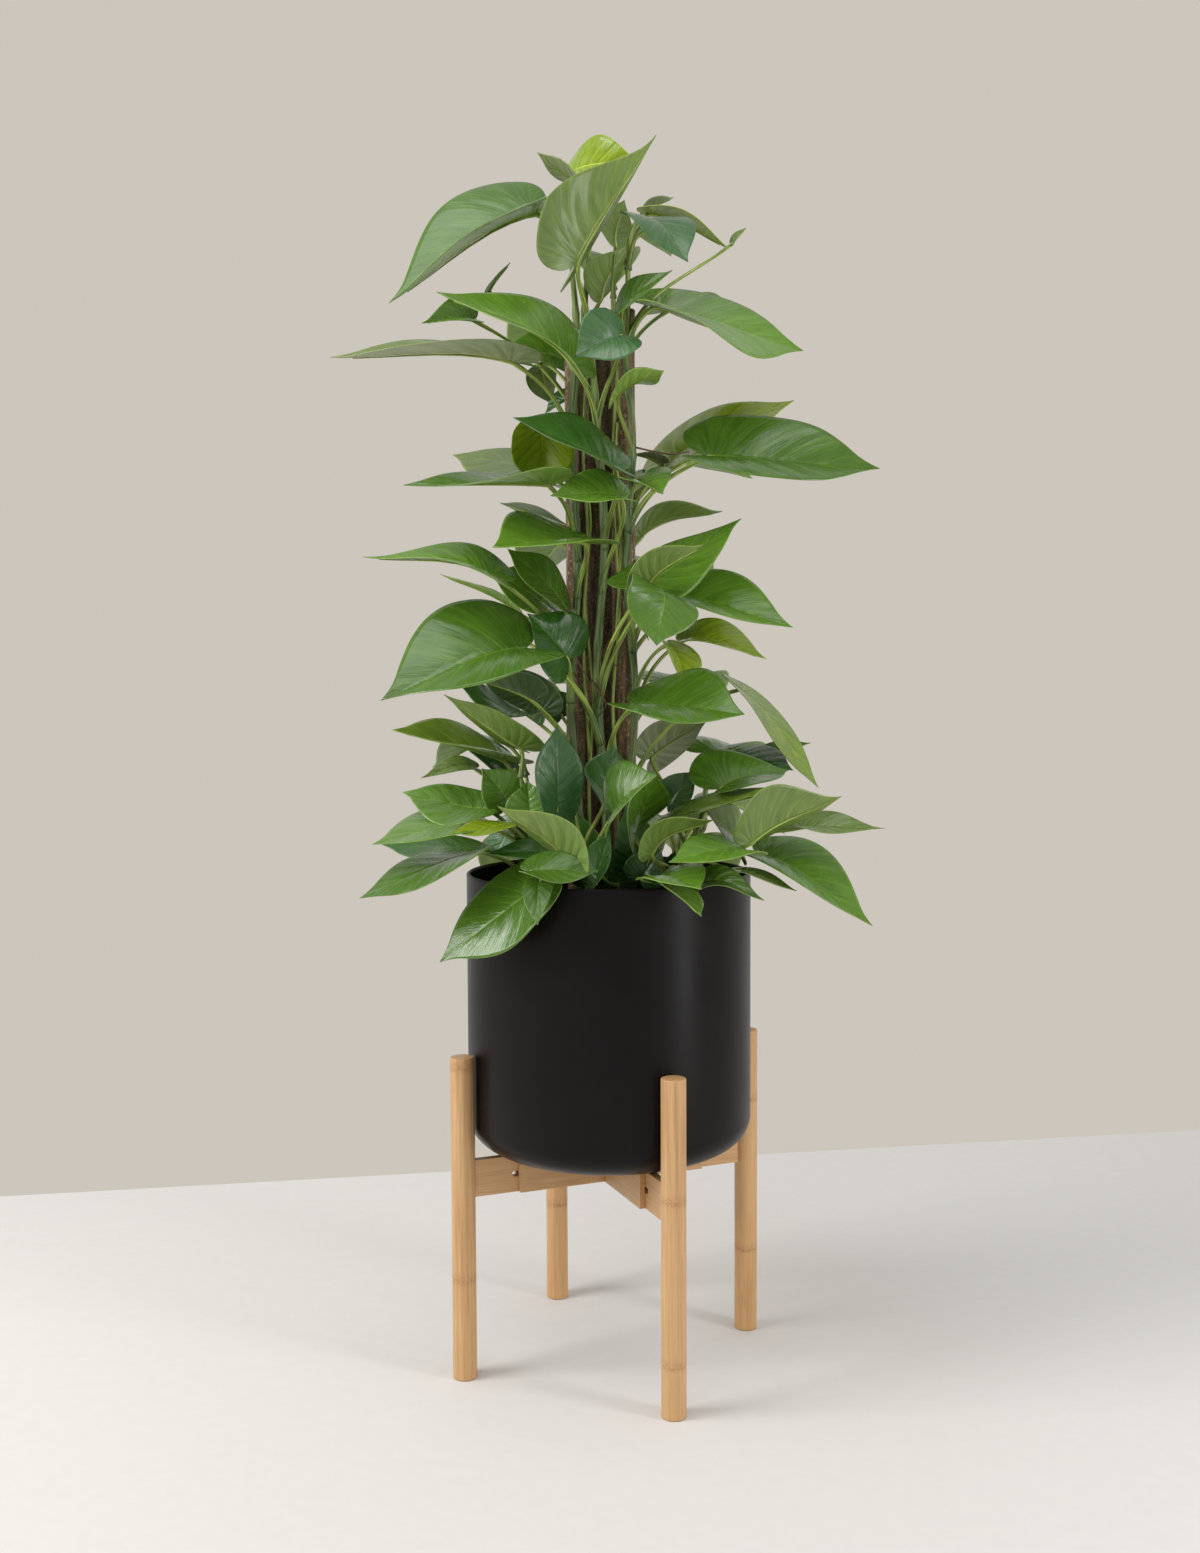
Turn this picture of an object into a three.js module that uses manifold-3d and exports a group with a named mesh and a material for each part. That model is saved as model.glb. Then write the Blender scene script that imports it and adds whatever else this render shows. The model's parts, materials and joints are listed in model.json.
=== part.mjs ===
import * as THREE from 'three';
import { mergeVertices } from 'three/addons/utils/BufferGeometryUtils.js';
import Module from 'manifold-3d';

// A potted jade pothos climbing three rough stakes, in a black pot on an adjustable bamboo stand.
// Millimetres, +Z up. X runs to the right and Y away from the viewer, and the origin is on the floor under
// the middle of the pot.

const wasm = await Module();
wasm.setup();

// Stand
const LEG_RADIUS = 12.5;
const LEG_HEIGHT = 335;
const LEG_CHAMFER = 1;
const LEG_CIRCLE = 162.5;
const FRONT_LEG_TURN = 22.1 * Math.PI / 180;
const CORNERS = ['front', 'right', 'back', 'left'];
const BEAM_TOP = 227;
const BEAM_HEIGHT = 38;
const BOARD_THICKNESS = 5.5;
const BOARD_REACH = 104;
const ARM_THICKNESS = 8.6;
const ARM_INNER_END = 22;
const TENON_DEPTH = 7;
const SLOT_INNER = 53;
const SLOT_OUTER = 111;
const SLOT_HEIGHT = 6.4;
const PIN_RADIUS = 2.5;
const PIN_PLACE = 84;
const PIN_BURIED = 2.6;
const GAP = 0.3;
const BOARD_OFFSET = ARM_THICKNESS / 2 + GAP + BOARD_THICKNESS / 2;

// How far a cutting shape runs on past the surface it opens
const OVERCUT = 5;

// Pot
const POT_RADIUS = 149;
const POT_RIM = 518;
const POT_BOTTOM = BEAM_TOP + GAP;
const POT_WALL = 4;
const POT_FLOOR = 7;
const FOOT_ROUND_WIDTH = 46;
const FOOT_ROUND_HEIGHT = 34;
const LIP_ROUND = 1.2;
const ROUND_SIDES = 28;

// Soil
const SOIL_TOP = 478;
const SOIL_CROWN = 4;
const HOLE_GAP = 1;
const STEM_HOLE_FLOOR = 424;

// Stakes. Each is its name, its place and its top.
const STAKE_RADIUS = 12.5;
const STAKE_ROUGH = 0.9;
const STAKE_FOOT = 330;
const STAKES = [
  ['stake_left', -30.5, -5, 1056],
  ['stake_centre', -7, 15, 1060],
  ['stake_right', 17, -3, 1098],
];

// Leaves and petioles
const BLADE_THICKNESS = 1.2;
const SMALL_LEAF = 66;
const FOLD_EASE = 0.35;
const TAPER_START = 0.2;
const ARCH_SHAPE = 6.75;
const PETIOLE_END = 0.35;
const LONG_PETIOLE = 70;
const PETIOLE_THIN = 1.5;
const PETIOLE_DROP = 25;
const PETIOLE_SLANT = 0.75;
const PETIOLE_LOWEST = SOIL_TOP + 30;
const PETIOLE_PULL = 0.36;
const PETIOLE_STAGGER = 6;
const PETIOLE_PER_WIDTH = 1 / 150;
const PETIOLE_LEAN = 0.45;
const MEETING_OUT = 0.8;
const MEETING_ALONG = 0.3;
const MEETING_RISE = 0.6;
const MEETING_FALL = -0.2;
const STEM_SAMPLES = 200;
const STEM_TOP_MARGIN = 4;
const JOIN_TOLERANCE = 0.04;

// The leafy stems. A stem's path is its middle line from its hole in the soil to its top. A leaf is its base
// where the petiole meets the blade, its tip, its width, the way its upper side faces, how far each half is
// folded up from the midrib in degrees, how high the midrib arches as a share of its length, how far it is
// twisted at its tip in degrees, how much narrower its tip part is as a share of its width, and its green.
const STEMS = {
  "stem_centre": {
    "radius": 4.5,
    "path": [
      [-8, -25, 428], [-2, -26, 560], [-11, -24, 720], [-3, -26, 860],
      [-11, -24, 990], [-18, -26, 1080], [-27, -34, 1120],
    ],
    "leaves": [
      [[-30, -75, 1125], [50, -60, 1255], 102, [-0.8, 0.4, 0.4], 40, 0.02, -20, 0.7, "olive"],
      [[-30, -75, 1025], [-165, -95, 1095], 112, [0.6, -0.4, 0.7], 20, 0.08, 0, -0.1, "bright"],
      [[15, -92, 1054], [-31, -117, 1028], 58, [0.2, -0.8, 0.5], 30, 0.05, -10, -0.4, "blue"],
      [[10, -90, 925], [-90, -120, 970], 100, [0.3, -0.4, 0.9], 20, 0.02, -10, 0, "dark"],
      [[15, -110, 895], [-55, -125, 895], 66, [-0.1, -0.5, 0.9], 22, 0.05, -20, 0, "bright"],
      [[-80, -100, 750], [-215, -160, 700], 132, [-0.4, -0.7, 0.6], 26, 0.06, 0, -0.2, "mid"],
      [[25, -105, 695], [130, -145, 685], 110, [0.2, -0.3, 0.9], 18, 0.03, 30, -0.4, "mid"],
      [[50, -140, 805], [45, -180, 750], 70, [0.6, -0.7, 0.4], 2, 0.13, 35, -0.4, "mid"],
      [[35, -130, 805], [90, -160, 845], 56, [-0.3, 0.1, 0.9], 28, 0.08, -35, 0.2, "olive"],
    ],
  },
  "stem_left": {
    "radius": 4.2,
    "path": [
      [-36, -26, 428], [-30, -28, 560], [-38, -26, 700], [-30, -28, 830],
      [-36, -26, 960], [-30, -26, 1060], [-34, -14, 1130], [-38, 4, 1185],
    ],
    "leaves": [
      [[-70, 25, 1205], [-220, -30, 1100], 136, [-0.2, -0.5, 0.8], 34, 0.05, 5, 0.2, "mid"],
      [[-121, 0, 1119], [-99, 5, 1149], 16, [-0.8, -0.3, 0.4], 20, 0.03, 0, 0, "mid"],
      [[-90, -55, 1035], [-275, -60, 1040], 92, [-0.1, 0, 1], 22, 0.04, -30, -0.2, "pale"],
      [[-65, -70, 975], [-65, -15, 920], 60, [0, -0.9, 0.4], 40, -0.02, 5, -0.4, "yellow"],
      [[-55, -90, 910], [-200, -90, 910], 90, [0.6, 0.1, 0.8], 14, 0.01, -50, 0.2, "mid"],
      [[-20, -65, 855], [-110, -135, 845], 98, [-0.4, -0.6, 0.7], 22, 0.04, -10, -0.4, "bright"],
      [[-110, -90, 820], [-240, -95, 840], 80, [-0.3, -0.3, 0.9], 20, 0.07, 0, 0.6, "bright"],
      [[-55, -15, 790], [-120, -30, 830], 78, [-0.1, -0.3, 0.9], 8, 0.02, -45, -0.1, "bright"],
      [[-40, -55, 740], [-80, -75, 785], 84, [0.3, -0.7, 0.5], 16, 0.05, 0, 0, "dark"],
      [[-65, -45, 685], [-105, -55, 735], 54, [0.5, 0.7, 0.3], 20, 0.05, 0, 0, "dark"],
      [[-74, -70, 697], [-126, -85, 719], 50, [0.2, 0.7, 0.6], 20, 0.05, 0, 0, "dark"],
      [[-85, 10, 685], [-155, -5, 715], 62, [0.7, 0.1, 0.7], 0, -0.06, -45, -0.3, "dark"],
      [[-45, -50, 795], [-100, -65, 850], 62, [0.5, -0.3, 0.8], 12, 0.04, -50, -0.1, "mid"],
    ],
  },
  "stem_right": {
    "radius": 4.2,
    "path": [
      [26, -24, 428], [20, -25, 560], [28, -23, 700], [20, -25, 830],
      [26, -24, 960], [20, -24, 1040], [22, -22, 1110], [22, -18, 1170],
    ],
    "leaves": [
      [[40, -40, 1180], [80, -85, 1125], 74, [0.3, -0.5, 0.8], 12, 0.10, 20, 0, "blue"],
      [[45, 30, 1205], [130, 35, 1170], 62, [0.2, -0.2, 1], 20, 0.06, 0, 0, "yellow"],
      [[132, 20, 1172], [145, 12, 1185], 14, [-0.5, -0.5, 0.5], 20, 0.05, 0, 0, "pale"],
      [[15, -40, 1090], [65, -75, 1120], 40, [-0.2, -0.7, 0.7], 24, 0.06, 20, 0.2, "mid"],
      [[45, -35, 1095], [205, 15, 1060], 136, [0.1, -0.3, 0.9], 8, 0.02, 40, -0.2, "bright"],
      [[10, -61, 1000], [56, -87, 1020], 50, [-0.2, -0.5, 0.9], 8, 0.07, -75, -0.4, "mid"],
      [[30, -30, 920], [55, -90, 900], 62, [-0.1, -0.3, 1], 30, 0.03, -5, 0.2, "bright"],
      [[100, -35, 945], [275, -45, 930], 114, [0, -0.5, 0.8], 24, 0.01, 25, -0.2, "mid"],
      [[65, 30, 945], [200, 50, 1015], 112, [-0.4, -0.3, 0.9], 10, 0.05, 30, 0, "yellow"],
      [[135, -25, 710], [220, -5, 605], 54, [1, -0.1, 0.2], 2, 0.04, 45, -0.2, "olive"],
      [[60, -30, 755], [80, -65, 705], 52, [0.7, -0.6, 0.5], 26, 0.09, -5, -0.3, "yellow"],
      [[60, -25, 805], [185, -70, 770], 88, [0.1, -0.4, 0.9], 26, 0.04, 25, -0.1, "bright"],
      [[80, 25, 760], [165, -5, 740], 68, [-0.3, -0.3, 0.9], 22, 0.10, -10, -0.3, "yellow"],
      [[30, -80, 810], [135, -50, 880], 100, [-0.6, -0.6, 0.5], 0, -0.03, -5, 0.1, "bright"],
    ],
  },
  "stem_back_left": {
    "radius": 4.0,
    "path": [
      [-28, 24, 428], [-30, 22, 700], [-26, 22, 950], [-24, 22, 1080],
      [-18, 28, 1160], [-16, 30, 1205],
    ],
    "leaves": [
      [[-35, 50, 1255], [35, 30, 1260], 68, [0.1, -0.7, 0.7], 18, 0.05, 65, -0.3, "yellow"],
      [[-22, 9, 1224], [-70, -5, 1257], 38, [0.6, -0.1, 0.8], 0, -0.00, 45, -0.1, "pale"],
      [[-5, 20, 1115], [25, 30, 1175], 50, [-0.7, 0.4, 0.6], 38, 0.08, -50, 0.1, "olive"],
      [[-136, -13, 1087], [-187, -30, 1080], 44, [0.4, -0.6, 0.7], 38, 0.07, -5, 0.5, "bright"],
      [[-40, 45, 1055], [-115, 45, 1070], 84, [0, -0.6, 0.8], 20, 0.06, 0, 0, "bright"],
      [[-67, 53, 1057], [-60, 92, 1019], 40, [-0.5, 0.8, 0.2], 2, 0.14, 0, -0.2, "olive"],
      [[-39, 40, 1019], [-65, 45, 1002], 34, [0, -0.5, 0.8], 20, 0.05, 0, 0, "dark"],
      [[-65, 5, 940], [-165, 55, 960], 90, [-0.6, 0, 0.8], 0, -0.00, -15, -0.2, "pale"],
      [[-40, 25, 880], [-115, 65, 910], 48, [0.2, 0.1, 1], 6, 0.02, 20, 0, "dark"],
      [[-100, 15, 795], [-175, 10, 830], 42, [0.3, 0, 1], 16, 0.04, 0, 0, "mid"],
      [[-49, 32, 681], [-67, 34, 710], 40, [0.3, -0.8, 0.3], 16, 0.05, 0, 0, "dark"],
      [[-50, 55, 1095], [-110, 140, 1080], 76, [-0.2, 0.4, 0.9], 20, 0.08, 0, 0, "mid"],
      [[-45, 60, 975], [-90, 170, 940], 90, [-0.2, 0.5, 0.85], 20, 0.08, 0, 0, "dark"],
      [[-45, 65, 865], [-85, 180, 830], 86, [-0.2, 0.5, 0.85], 20, 0.08, 0, 0, "mid"],
      [[-95, 60, 765], [-185, 145, 735], 92, [-0.4, 0.4, 0.85], 20, 0.08, 0, 0, "mid"],
      [[-60, 80, 715], [-110, 195, 680], 94, [-0.3, 0.5, 0.85], 20, 0.08, 0, 0, "dark"],
    ],
  },
  "stem_back_right": {
    "radius": 4.0,
    "path": [
      [14, 24, 428], [16, 22, 700], [12, 22, 950], [14, 34, 1040],
      [8, 66, 1125], [14, 74, 1185],
    ],
    "leaves": [
      [[10, 40, 1175], [20, 65, 1230], 50, [-0.4, 0.7, 0.6], 6, 0.07, -15, -0.4, "olive"],
      [[40, 75, 1218], [74, 90, 1240], 30, [-0.2, 0.2, 1], 20, 0.05, 0, 0, "pale"],
      [[35, 55, 870], [125, 65, 900], 80, [-0.6, 0.2, 0.8], 18, 0.11, 5, 0.3, "olive"],
      [[58, 20, 946], [27, 10, 954], 30, [0, 0.1, 1], 14, 0.05, 0, 0, "pale"],
      [[0, 95, 1180], [5, 195, 1165], 76, [0, 0.5, 0.85], 20, 0.08, 0, 0, "mid"],
      [[0, 65, 1080], [-5, 185, 1060], 76, [0, 0.5, 0.85], 20, 0.08, 0, 0, "mid"],
      [[65, 50, 1110], [140, 145, 1105], 72, [0.2, 0.4, 0.9], 20, 0.08, 0, 0, "bright"],
      [[80, 60, 950], [165, 145, 945], 92, [0.3, 0.5, 0.85], 20, 0.08, 0, 0, "mid"],
      [[5, 70, 935], [15, 195, 905], 86, [0, 0.5, 0.85], 20, 0.08, 0, 0, "mid"],
      [[60, 105, 845], [115, 205, 820], 86, [0.3, 0.5, 0.85], 20, 0.08, 0, 0, "bright"],
      [[85, 60, 800], [150, 135, 790], 80, [0.4, 0.4, 0.85], 20, 0.08, 0, 0, "olive"],
      [[10, 75, 800], [20, 205, 770], 84, [0, 0.5, 0.85], 20, 0.08, 0, 0, "mid"],
      [[70, 70, 715], [130, 175, 690], 92, [0.3, 0.5, 0.85], 20, 0.08, 0, 0, "mid"],
      [[45, 85, 1205], [75, 175, 1200], 60, [0.1, 0.5, 0.85], 20, 0.08, 0, 0, "mid"],
    ],
  },
  "stem_low_front": {
    "radius": 3.5,
    "path": [
      [-16, -62, 428], [-20, -74, 510], [-30, -84, 570], [-36, -88, 600],
    ],
    "leaves": [
      [[-5, -100, 595], [5, -105, 655], 64, [-0.6, -0.2, 0.8], 2, 0.01, 70, -0.3, "dark"],
      [[5, -140, 590], [45, -180, 630], 74, [-0.4, -0.7, 0.7], 28, 0.08, -10, -0.3, "mid"],
      [[10, -34, 507], [12, -29, 551], 44, [0, -0.8, 0.5], 16, 0.05, 0, 0, "dark"],
      [[-20, -45, 520], [-35, -50, 590], 48, [-0.2, -0.9, 0.4], 12, 0.05, 10, 0, "dark"],
      [[-14, -118, 518], [2, -116, 572], 50, [-0.9, -0.3, 0.3], 24, 0.01, 35, 0, "dark"],
    ],
  },
  "stem_low_left_front": {
    "radius": 3.5,
    "path": [
      [-52, -56, 428], [-70, -70, 520], [-84, -74, 590], [-88, -76, 628],
    ],
    "leaves": [
      [[-85, -80, 650], [-160, -115, 705], 60, [0.5, 0.5, 0.7], 22, -0.01, 15, 0.5, "olive"],
      [[-115, -60, 570], [-230, -125, 560], 106, [-0.3, -0.3, 0.9], 6, 0.08, -5, -0.3, "bright"],
      [[-98, -118, 579], [-152, -135, 572], 38, [0.2, 0, 1], 0, -0.00, -35, 0.1, "yellow"],
      [[-130, -95, 550], [-240, -145, 510], 88, [-0.4, 0, 0.9], 2, 0.02, -45, 0.1, "mid"],
      [[-50, -120, 590], [-50, -110, 675], 56, [0.7, -0.5, 0.5], 10, 0.02, -40, -0.3, "blue"],
      [[-77, -105, 586], [-80, -100, 620], 46, [0, -0.9, 0.4], 14, 0.05, 0, 0, "bright"],
      [[-35, -165, 540], [-105, -165, 600], 70, [0.2, 0.4, 0.9], 24, 0.07, 25, 0.3, "olive"],
      [[-45, -110, 545], [-120, -120, 550], 36, [0, -0.6, 0.8], 20, 0.08, 0, 0, "dark"],
      [[-75, -180, 540], [-10, -180, 540], 50, [0.2, -0.2, 0.9], 18, 0.02, 55, 0.1, "mid"],
      [[-65, -140, 525], [-165, -130, 445], 88, [-0.4, -0.6, 0.8], 0, -0.01, -20, -0.2, "mid"],
      [[-65, -162, 529], [-67, -203, 492], 30, [-0.2, -0.8, 0.5], 12, 0.10, 20, -0.2, "mid"],
      [[-60, -50, 540], [-80, -55, 605], 48, [0.2, -0.9, 0.4], 12, 0.05, 10, 0, "dark"],
    ],
  },
  "stem_low_left": {
    "radius": 3.5,
    "path": [
      [-74, -12, 428], [-88, -14, 520], [-95, -12, 590], [-97, -10, 630],
    ],
    "leaves": [
      [[-105, -20, 635], [-215, -85, 670], 78, [0, -0.2, 1], 26, 0.02, -25, -0.3, "olive"],
      [[-105, 10, 620], [-165, 5, 660], 48, [0.4, -0.5, 0.8], 20, 0.05, 0, 0, "dark"],
      [[-145, 50, 625], [-200, 30, 615], 28, [-0.3, -0.6, 0.8], 24, 0.09, -10, 0.2, "pale"],
      [[-102, -55, 597], [-128, -60, 630], 48, [0.2, -0.9, 0.3], 14, 0.05, 0, 0, "bright"],
      [[-120, -65, 590], [-210, -45, 605], 82, [0.2, -0.3, 0.9], 0, -0.04, -20, -0.2, "bright"],
      [[-130, -10, 540], [-240, 15, 545], 66, [0.2, 0, 1], 2, 0.03, -45, -0.2, "dark"],
      [[-94, 20, 562], [-136, 40, 535], 40, [-0.2, -0.8, 0.5], 14, 0.05, 0, 0, "blue"],
      [[-70, -50, 551], [-90, -45, 584], 44, [0, -0.8, 0.5], 16, 0.05, 0, 0, "dark"],
    ],
  },
  "stem_low_right_front": {
    "radius": 3.5,
    "path": [
      [44, -60, 428], [66, -78, 510], [86, -88, 555], [96, -92, 572],
    ],
    "leaves": [
      [[25, -110, 565], [45, -130, 630], 70, [0.4, -0.3, 0.9], 10, 0.00, -60, -0.3, "mid"],
      [[40, -145, 550], [100, -150, 585], 60, [0, 0.3, 1], 22, 0.13, -10, -0.1, "olive"],
      [[60, -100, 580], [170, -145, 615], 64, [-0.5, 0, 0.9], 12, 0.02, 5, -0.2, "olive"],
      [[135, -140, 560], [225, -130, 605], 100, [-0.5, 0.4, 0.8], 26, 0.05, -35, 0.4, "olive"],
      [[155, -55, 540], [260, -105, 475], 90, [0, -0.2, 1], 24, 0.06, 10, 0.1, "bright"],
      [[130, -160, 555], [55, -200, 550], 64, [-0.5, -0.4, 0.8], 14, 0.07, -20, -0.1, "bright"],
      [[50, -145, 530], [85, -205, 525], 62, [-0.2, -0.1, 1], 16, 0.05, -10, -0.2, "bright"],
      [[50, -150, 525], [85, -205, 500], 46, [0.5, -0.3, 0.8], 14, 0.05, -5, -0.4, "bright"],
      [[85, -135, 520], [150, -135, 505], 40, [0.1, -0.4, 0.9], 24, 0.16, 0, 0, "mid"],
      [[125, -100, 530], [185, -105, 510], 30, [0.6, -0.1, 0.8], 6, 0.06, 20, 0, "pale"],
      [[32, -60, 516], [54, -58, 548], 44, [0, -0.8, 0.5], 16, 0.05, 0, 0, "dark"],
      [[70, -30, 514], [88, -42, 556], 42, [0.2, -0.9, 0.4], 14, 0.05, 10, 0, "dark"],
      [[30, -40, 530], [20, -45, 595], 46, [0.1, -0.9, 0.4], 12, 0.05, 10, 0, "dark"],
    ],
  },
  "stem_low_right": {
    "radius": 3.5,
    "path": [
      [72, -8, 428], [86, -14, 520], [98, -18, 590], [104, -16, 625],
    ],
    "leaves": [
      [[110, -90, 610], [185, -35, 625], 92, [-0.4, -0.5, 0.8], 26, 0.06, 20, 0.2, "mid"],
      [[125, 15, 635], [190, -35, 625], 58, [0.3, -0.4, 0.9], 18, 0.03, 15, -0.4, "dark"],
      [[190, -75, 570], [275, -90, 570], 50, [0.3, -0.2, 0.9], 20, 0.02, 50, 0.8, "pale"],
      [[45, 20, 635], [105, 20, 675], 62, [-0.3, 0.7, 0.5], 16, 0.05, 0, 0, "pale"],
      [[166, 15, 637], [215, 20, 651], 28, [0, -0.4, 0.9], 20, 0.05, 0, 0, "mid"],
      [[60, -60, 593], [89, -60, 627], 38, [0, -0.8, 0.5], 16, 0.05, 0, 0, "dark"],
      [[130, -65, 550], [95, -100, 590], 62, [0.4, -0.6, 0.7], 22, 0.07, -5, -0.3, "olive"],
    ],
  },
  "stem_low_back_left": {
    "radius": 3.5,
    "path": [
      [-56, 52, 428], [-76, 62, 530], [-90, 66, 620], [-96, 66, 645],
    ],
    "leaves": [
      [[-110, 70, 650], [-200, 145, 620], 88, [-0.5, 0.4, 0.8], 20, 0.08, 0, 0, "mid"],
      [[-120, 90, 580], [-195, 165, 530], 88, [-0.5, 0.5, 0.75], 20, 0.08, 0, 0, "bright"],
      [[-60, 120, 570], [-90, 205, 510], 88, [-0.3, 0.6, 0.75], 20, 0.08, 0, 0, "mid"],
      [[-95, 120, 540], [-130, 200, 460], 84, [-0.4, 0.7, 0.6], 20, 0.08, 0, 0, "mid"],
    ],
  },
  "stem_low_back_right": {
    "radius": 3.5,
    "path": [
      [56, 52, 428], [76, 60, 530], [92, 62, 610], [98, 60, 635],
    ],
    "leaves": [
      [[110, 60, 640], [190, 140, 620], 84, [0.5, 0.4, 0.8], 20, 0.08, 0, 0, "mid"],
      [[125, 90, 580], [205, 165, 540], 84, [0.5, 0.5, 0.75], 20, 0.08, 0, 0, "mid"],
      [[60, 120, 565], [90, 205, 505], 88, [0.3, 0.6, 0.75], 20, 0.08, 0, 0, "mid"],
      [[100, 120, 540], [135, 195, 465], 82, [0.4, 0.7, 0.6], 20, 0.08, 0, 0, "bright"],
    ],
  },
  "stem_low_back": {
    "radius": 3.5,
    "path": [
      [0, 66, 428], [-2, 78, 530], [0, 84, 600], [-4, 84, 645],
    ],
    "leaves": [
      [[-10, 85, 650], [-25, 205, 605], 94, [0, 0.5, 0.85], 20, 0.08, 0, 0, "mid"],
      [[0, 120, 590], [0, 205, 540], 84, [0, 0.6, 0.75], 20, 0.08, 0, 0, "bright"],
      [[25, 95, 550], [40, 185, 480], 70, [0.1, 0.8, 0.5], 18, 0.08, 0, 0, "dark"],
    ],
  },
};

const GREENS = {
  mid: 0x3f7a2e,
  dark: 0x27522a,
  bright: 0x5a9a2c,
  pale: 0x7d9468,
  yellow: 0x8a9a1e,
  olive: 0x66843c,
  blue: 0x2f5c48,
};

function solidFrom(positions, triangles) {
  return new wasm.Manifold(new wasm.Mesh({
    numProp: 3,
    vertProperties: new Float32Array(positions),
    triVerts: new Uint32Array(triangles),
  }));
}

function solidOf(geometry) {
  const bare = geometry.clone();
  bare.deleteAttribute('normal');
  bare.deleteAttribute('uv');
  const merged = mergeVertices(bare, 1e-4);
  return solidFrom(merged.attributes.position.array, dropSlivers(merged.index.array));
}

function dropSlivers(index) {
  const kept = [];
  for (let i = 0; i < index.length; i += 3) {
    const [a, b, c] = [index[i], index[i + 1], index[i + 2]];
    if (a !== b && b !== c && c !== a) kept.push(a, b, c);
  }
  return kept;
}

function geometryOf(solid) {
  const mesh = solid.getMesh();
  const geometry = new THREE.BufferGeometry();
  geometry.setAttribute('position', new THREE.BufferAttribute(new Float32Array(mesh.vertProperties), 3));
  geometry.setIndex(new THREE.BufferAttribute(new Uint32Array(mesh.triVerts), 1));
  geometry.computeVertexNormals();
  return geometry;
}

function named(name, geometry, material) {
  const mesh = new THREE.Mesh(geometry, material);
  mesh.name = name;
  return mesh;
}

function bambooMaterial() {
  return new THREE.MeshStandardMaterial({ color: 0xd2a56a, roughness: 0.5, metalness: 0 });
}

function potMaterial() {
  return new THREE.MeshStandardMaterial({ color: 0x151416, roughness: 0.45, metalness: 0 });
}

function soilMaterial() {
  return new THREE.MeshStandardMaterial({ color: 0x2b2018, roughness: 0.95, metalness: 0 });
}

function barkMaterial() {
  return new THREE.MeshStandardMaterial({ color: 0x5b4433, roughness: 0.9, metalness: 0 });
}

function steelMaterial() {
  return new THREE.MeshStandardMaterial({ color: 0x9a9a9a, roughness: 0.35, metalness: 1 });
}

function leafMaterial(green) {
  return new THREE.MeshStandardMaterial({ color: GREENS[green], roughness: 0.35, metalness: 0 });
}

// A round solid about the Z axis from [radius, height] points, the first and last on the axis
function turned(profile, segments) {
  const points = profile.map(([radius, height]) => new THREE.Vector2(radius, height));
  const geometry = new THREE.LatheGeometry(points, segments);
  geometry.rotateX(Math.PI / 2);
  return solidOf(geometry);
}

// A flat board: its outline is drawn with X along the beam and Y upward, and it stands on edge
function board(shape, thickness) {
  const settings = { depth: thickness, bevelEnabled: false, curveSegments: 4 };
  const geometry = new THREE.ExtrudeGeometry(shape, settings);
  geometry.translate(0, 0, -thickness / 2);
  geometry.rotateX(Math.PI / 2);
  return solidOf(geometry);
}

function rectangle(left, right, bottom, top) {
  return new THREE.Shape([
    new THREE.Vector2(left, bottom),
    new THREE.Vector2(right, bottom),
    new THREE.Vector2(right, top),
    new THREE.Vector2(left, top),
  ]);
}

// How far a corner's beam is turned from the X axis
function cornerTurn(corner) {
  return FRONT_LEG_TURN - Math.PI / 2 + corner * Math.PI / 2;
}

function turnedTo(solid, angle) {
  return solid.rotate([0, 0, angle * 180 / Math.PI]);
}

function leg(corner) {
  const edge = LEG_RADIUS - LEG_CHAMFER;
  const post = turned([
    [0, 0],
    [edge, 0],
    [LEG_RADIUS, LEG_CHAMFER],
    [LEG_RADIUS, LEG_HEIGHT - LEG_CHAMFER],
    [edge, LEG_HEIGHT],
    [0, LEG_HEIGHT],
  ], 16).translate([LEG_CIRCLE, 0, 0]);
  const mortise = board(rectangle(
    LEG_CIRCLE - LEG_RADIUS - OVERCUT,
    LEG_CIRCLE - LEG_RADIUS + TENON_DEPTH + GAP,
    BEAM_TOP - BEAM_HEIGHT - GAP,
    BEAM_TOP + GAP,
  ), ARM_THICKNESS + 2 * GAP);
  return turnedTo(post.subtract(mortise), cornerTurn(corner));
}

function arm(corner) {
  const low = BEAM_TOP - BEAM_HEIGHT;
  const outer = LEG_CIRCLE - LEG_RADIUS + TENON_DEPTH;
  const shape = rectangle(ARM_INNER_END, outer, low, BEAM_TOP);
  const middle = BEAM_TOP - BEAM_HEIGHT / 2;
  const half = SLOT_HEIGHT / 2;
  const slot = new THREE.Path();
  slot.moveTo(SLOT_INNER + half, middle - half);
  slot.lineTo(SLOT_OUTER - half, middle - half);
  slot.absarc(SLOT_OUTER - half, middle, half, -Math.PI / 2, Math.PI / 2, false);
  slot.lineTo(SLOT_INNER + half, middle + half);
  slot.absarc(SLOT_INNER + half, middle, half, Math.PI / 2, Math.PI * 1.5, false);
  shape.holes.push(slot);
  return turnedTo(board(shape, ARM_THICKNESS), cornerTurn(corner));
}

// A steel pin across a beam: radius, half its length, and where along the beam it stands
function crossRod(radius, half, place) {
  return turned([[0, -half], [radius, -half], [radius, half], [0, half]], 10)
    .rotate([90, 0, 0])
    .translate([place, 0, BEAM_TOP - BEAM_HEIGHT / 2]);
}

function pin(corner) {
  const half = ARM_THICKNESS / 2 + GAP + PIN_BURIED;
  return turnedTo(crossRod(PIN_RADIUS, half, PIN_PLACE), cornerTurn(corner));
}

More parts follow.
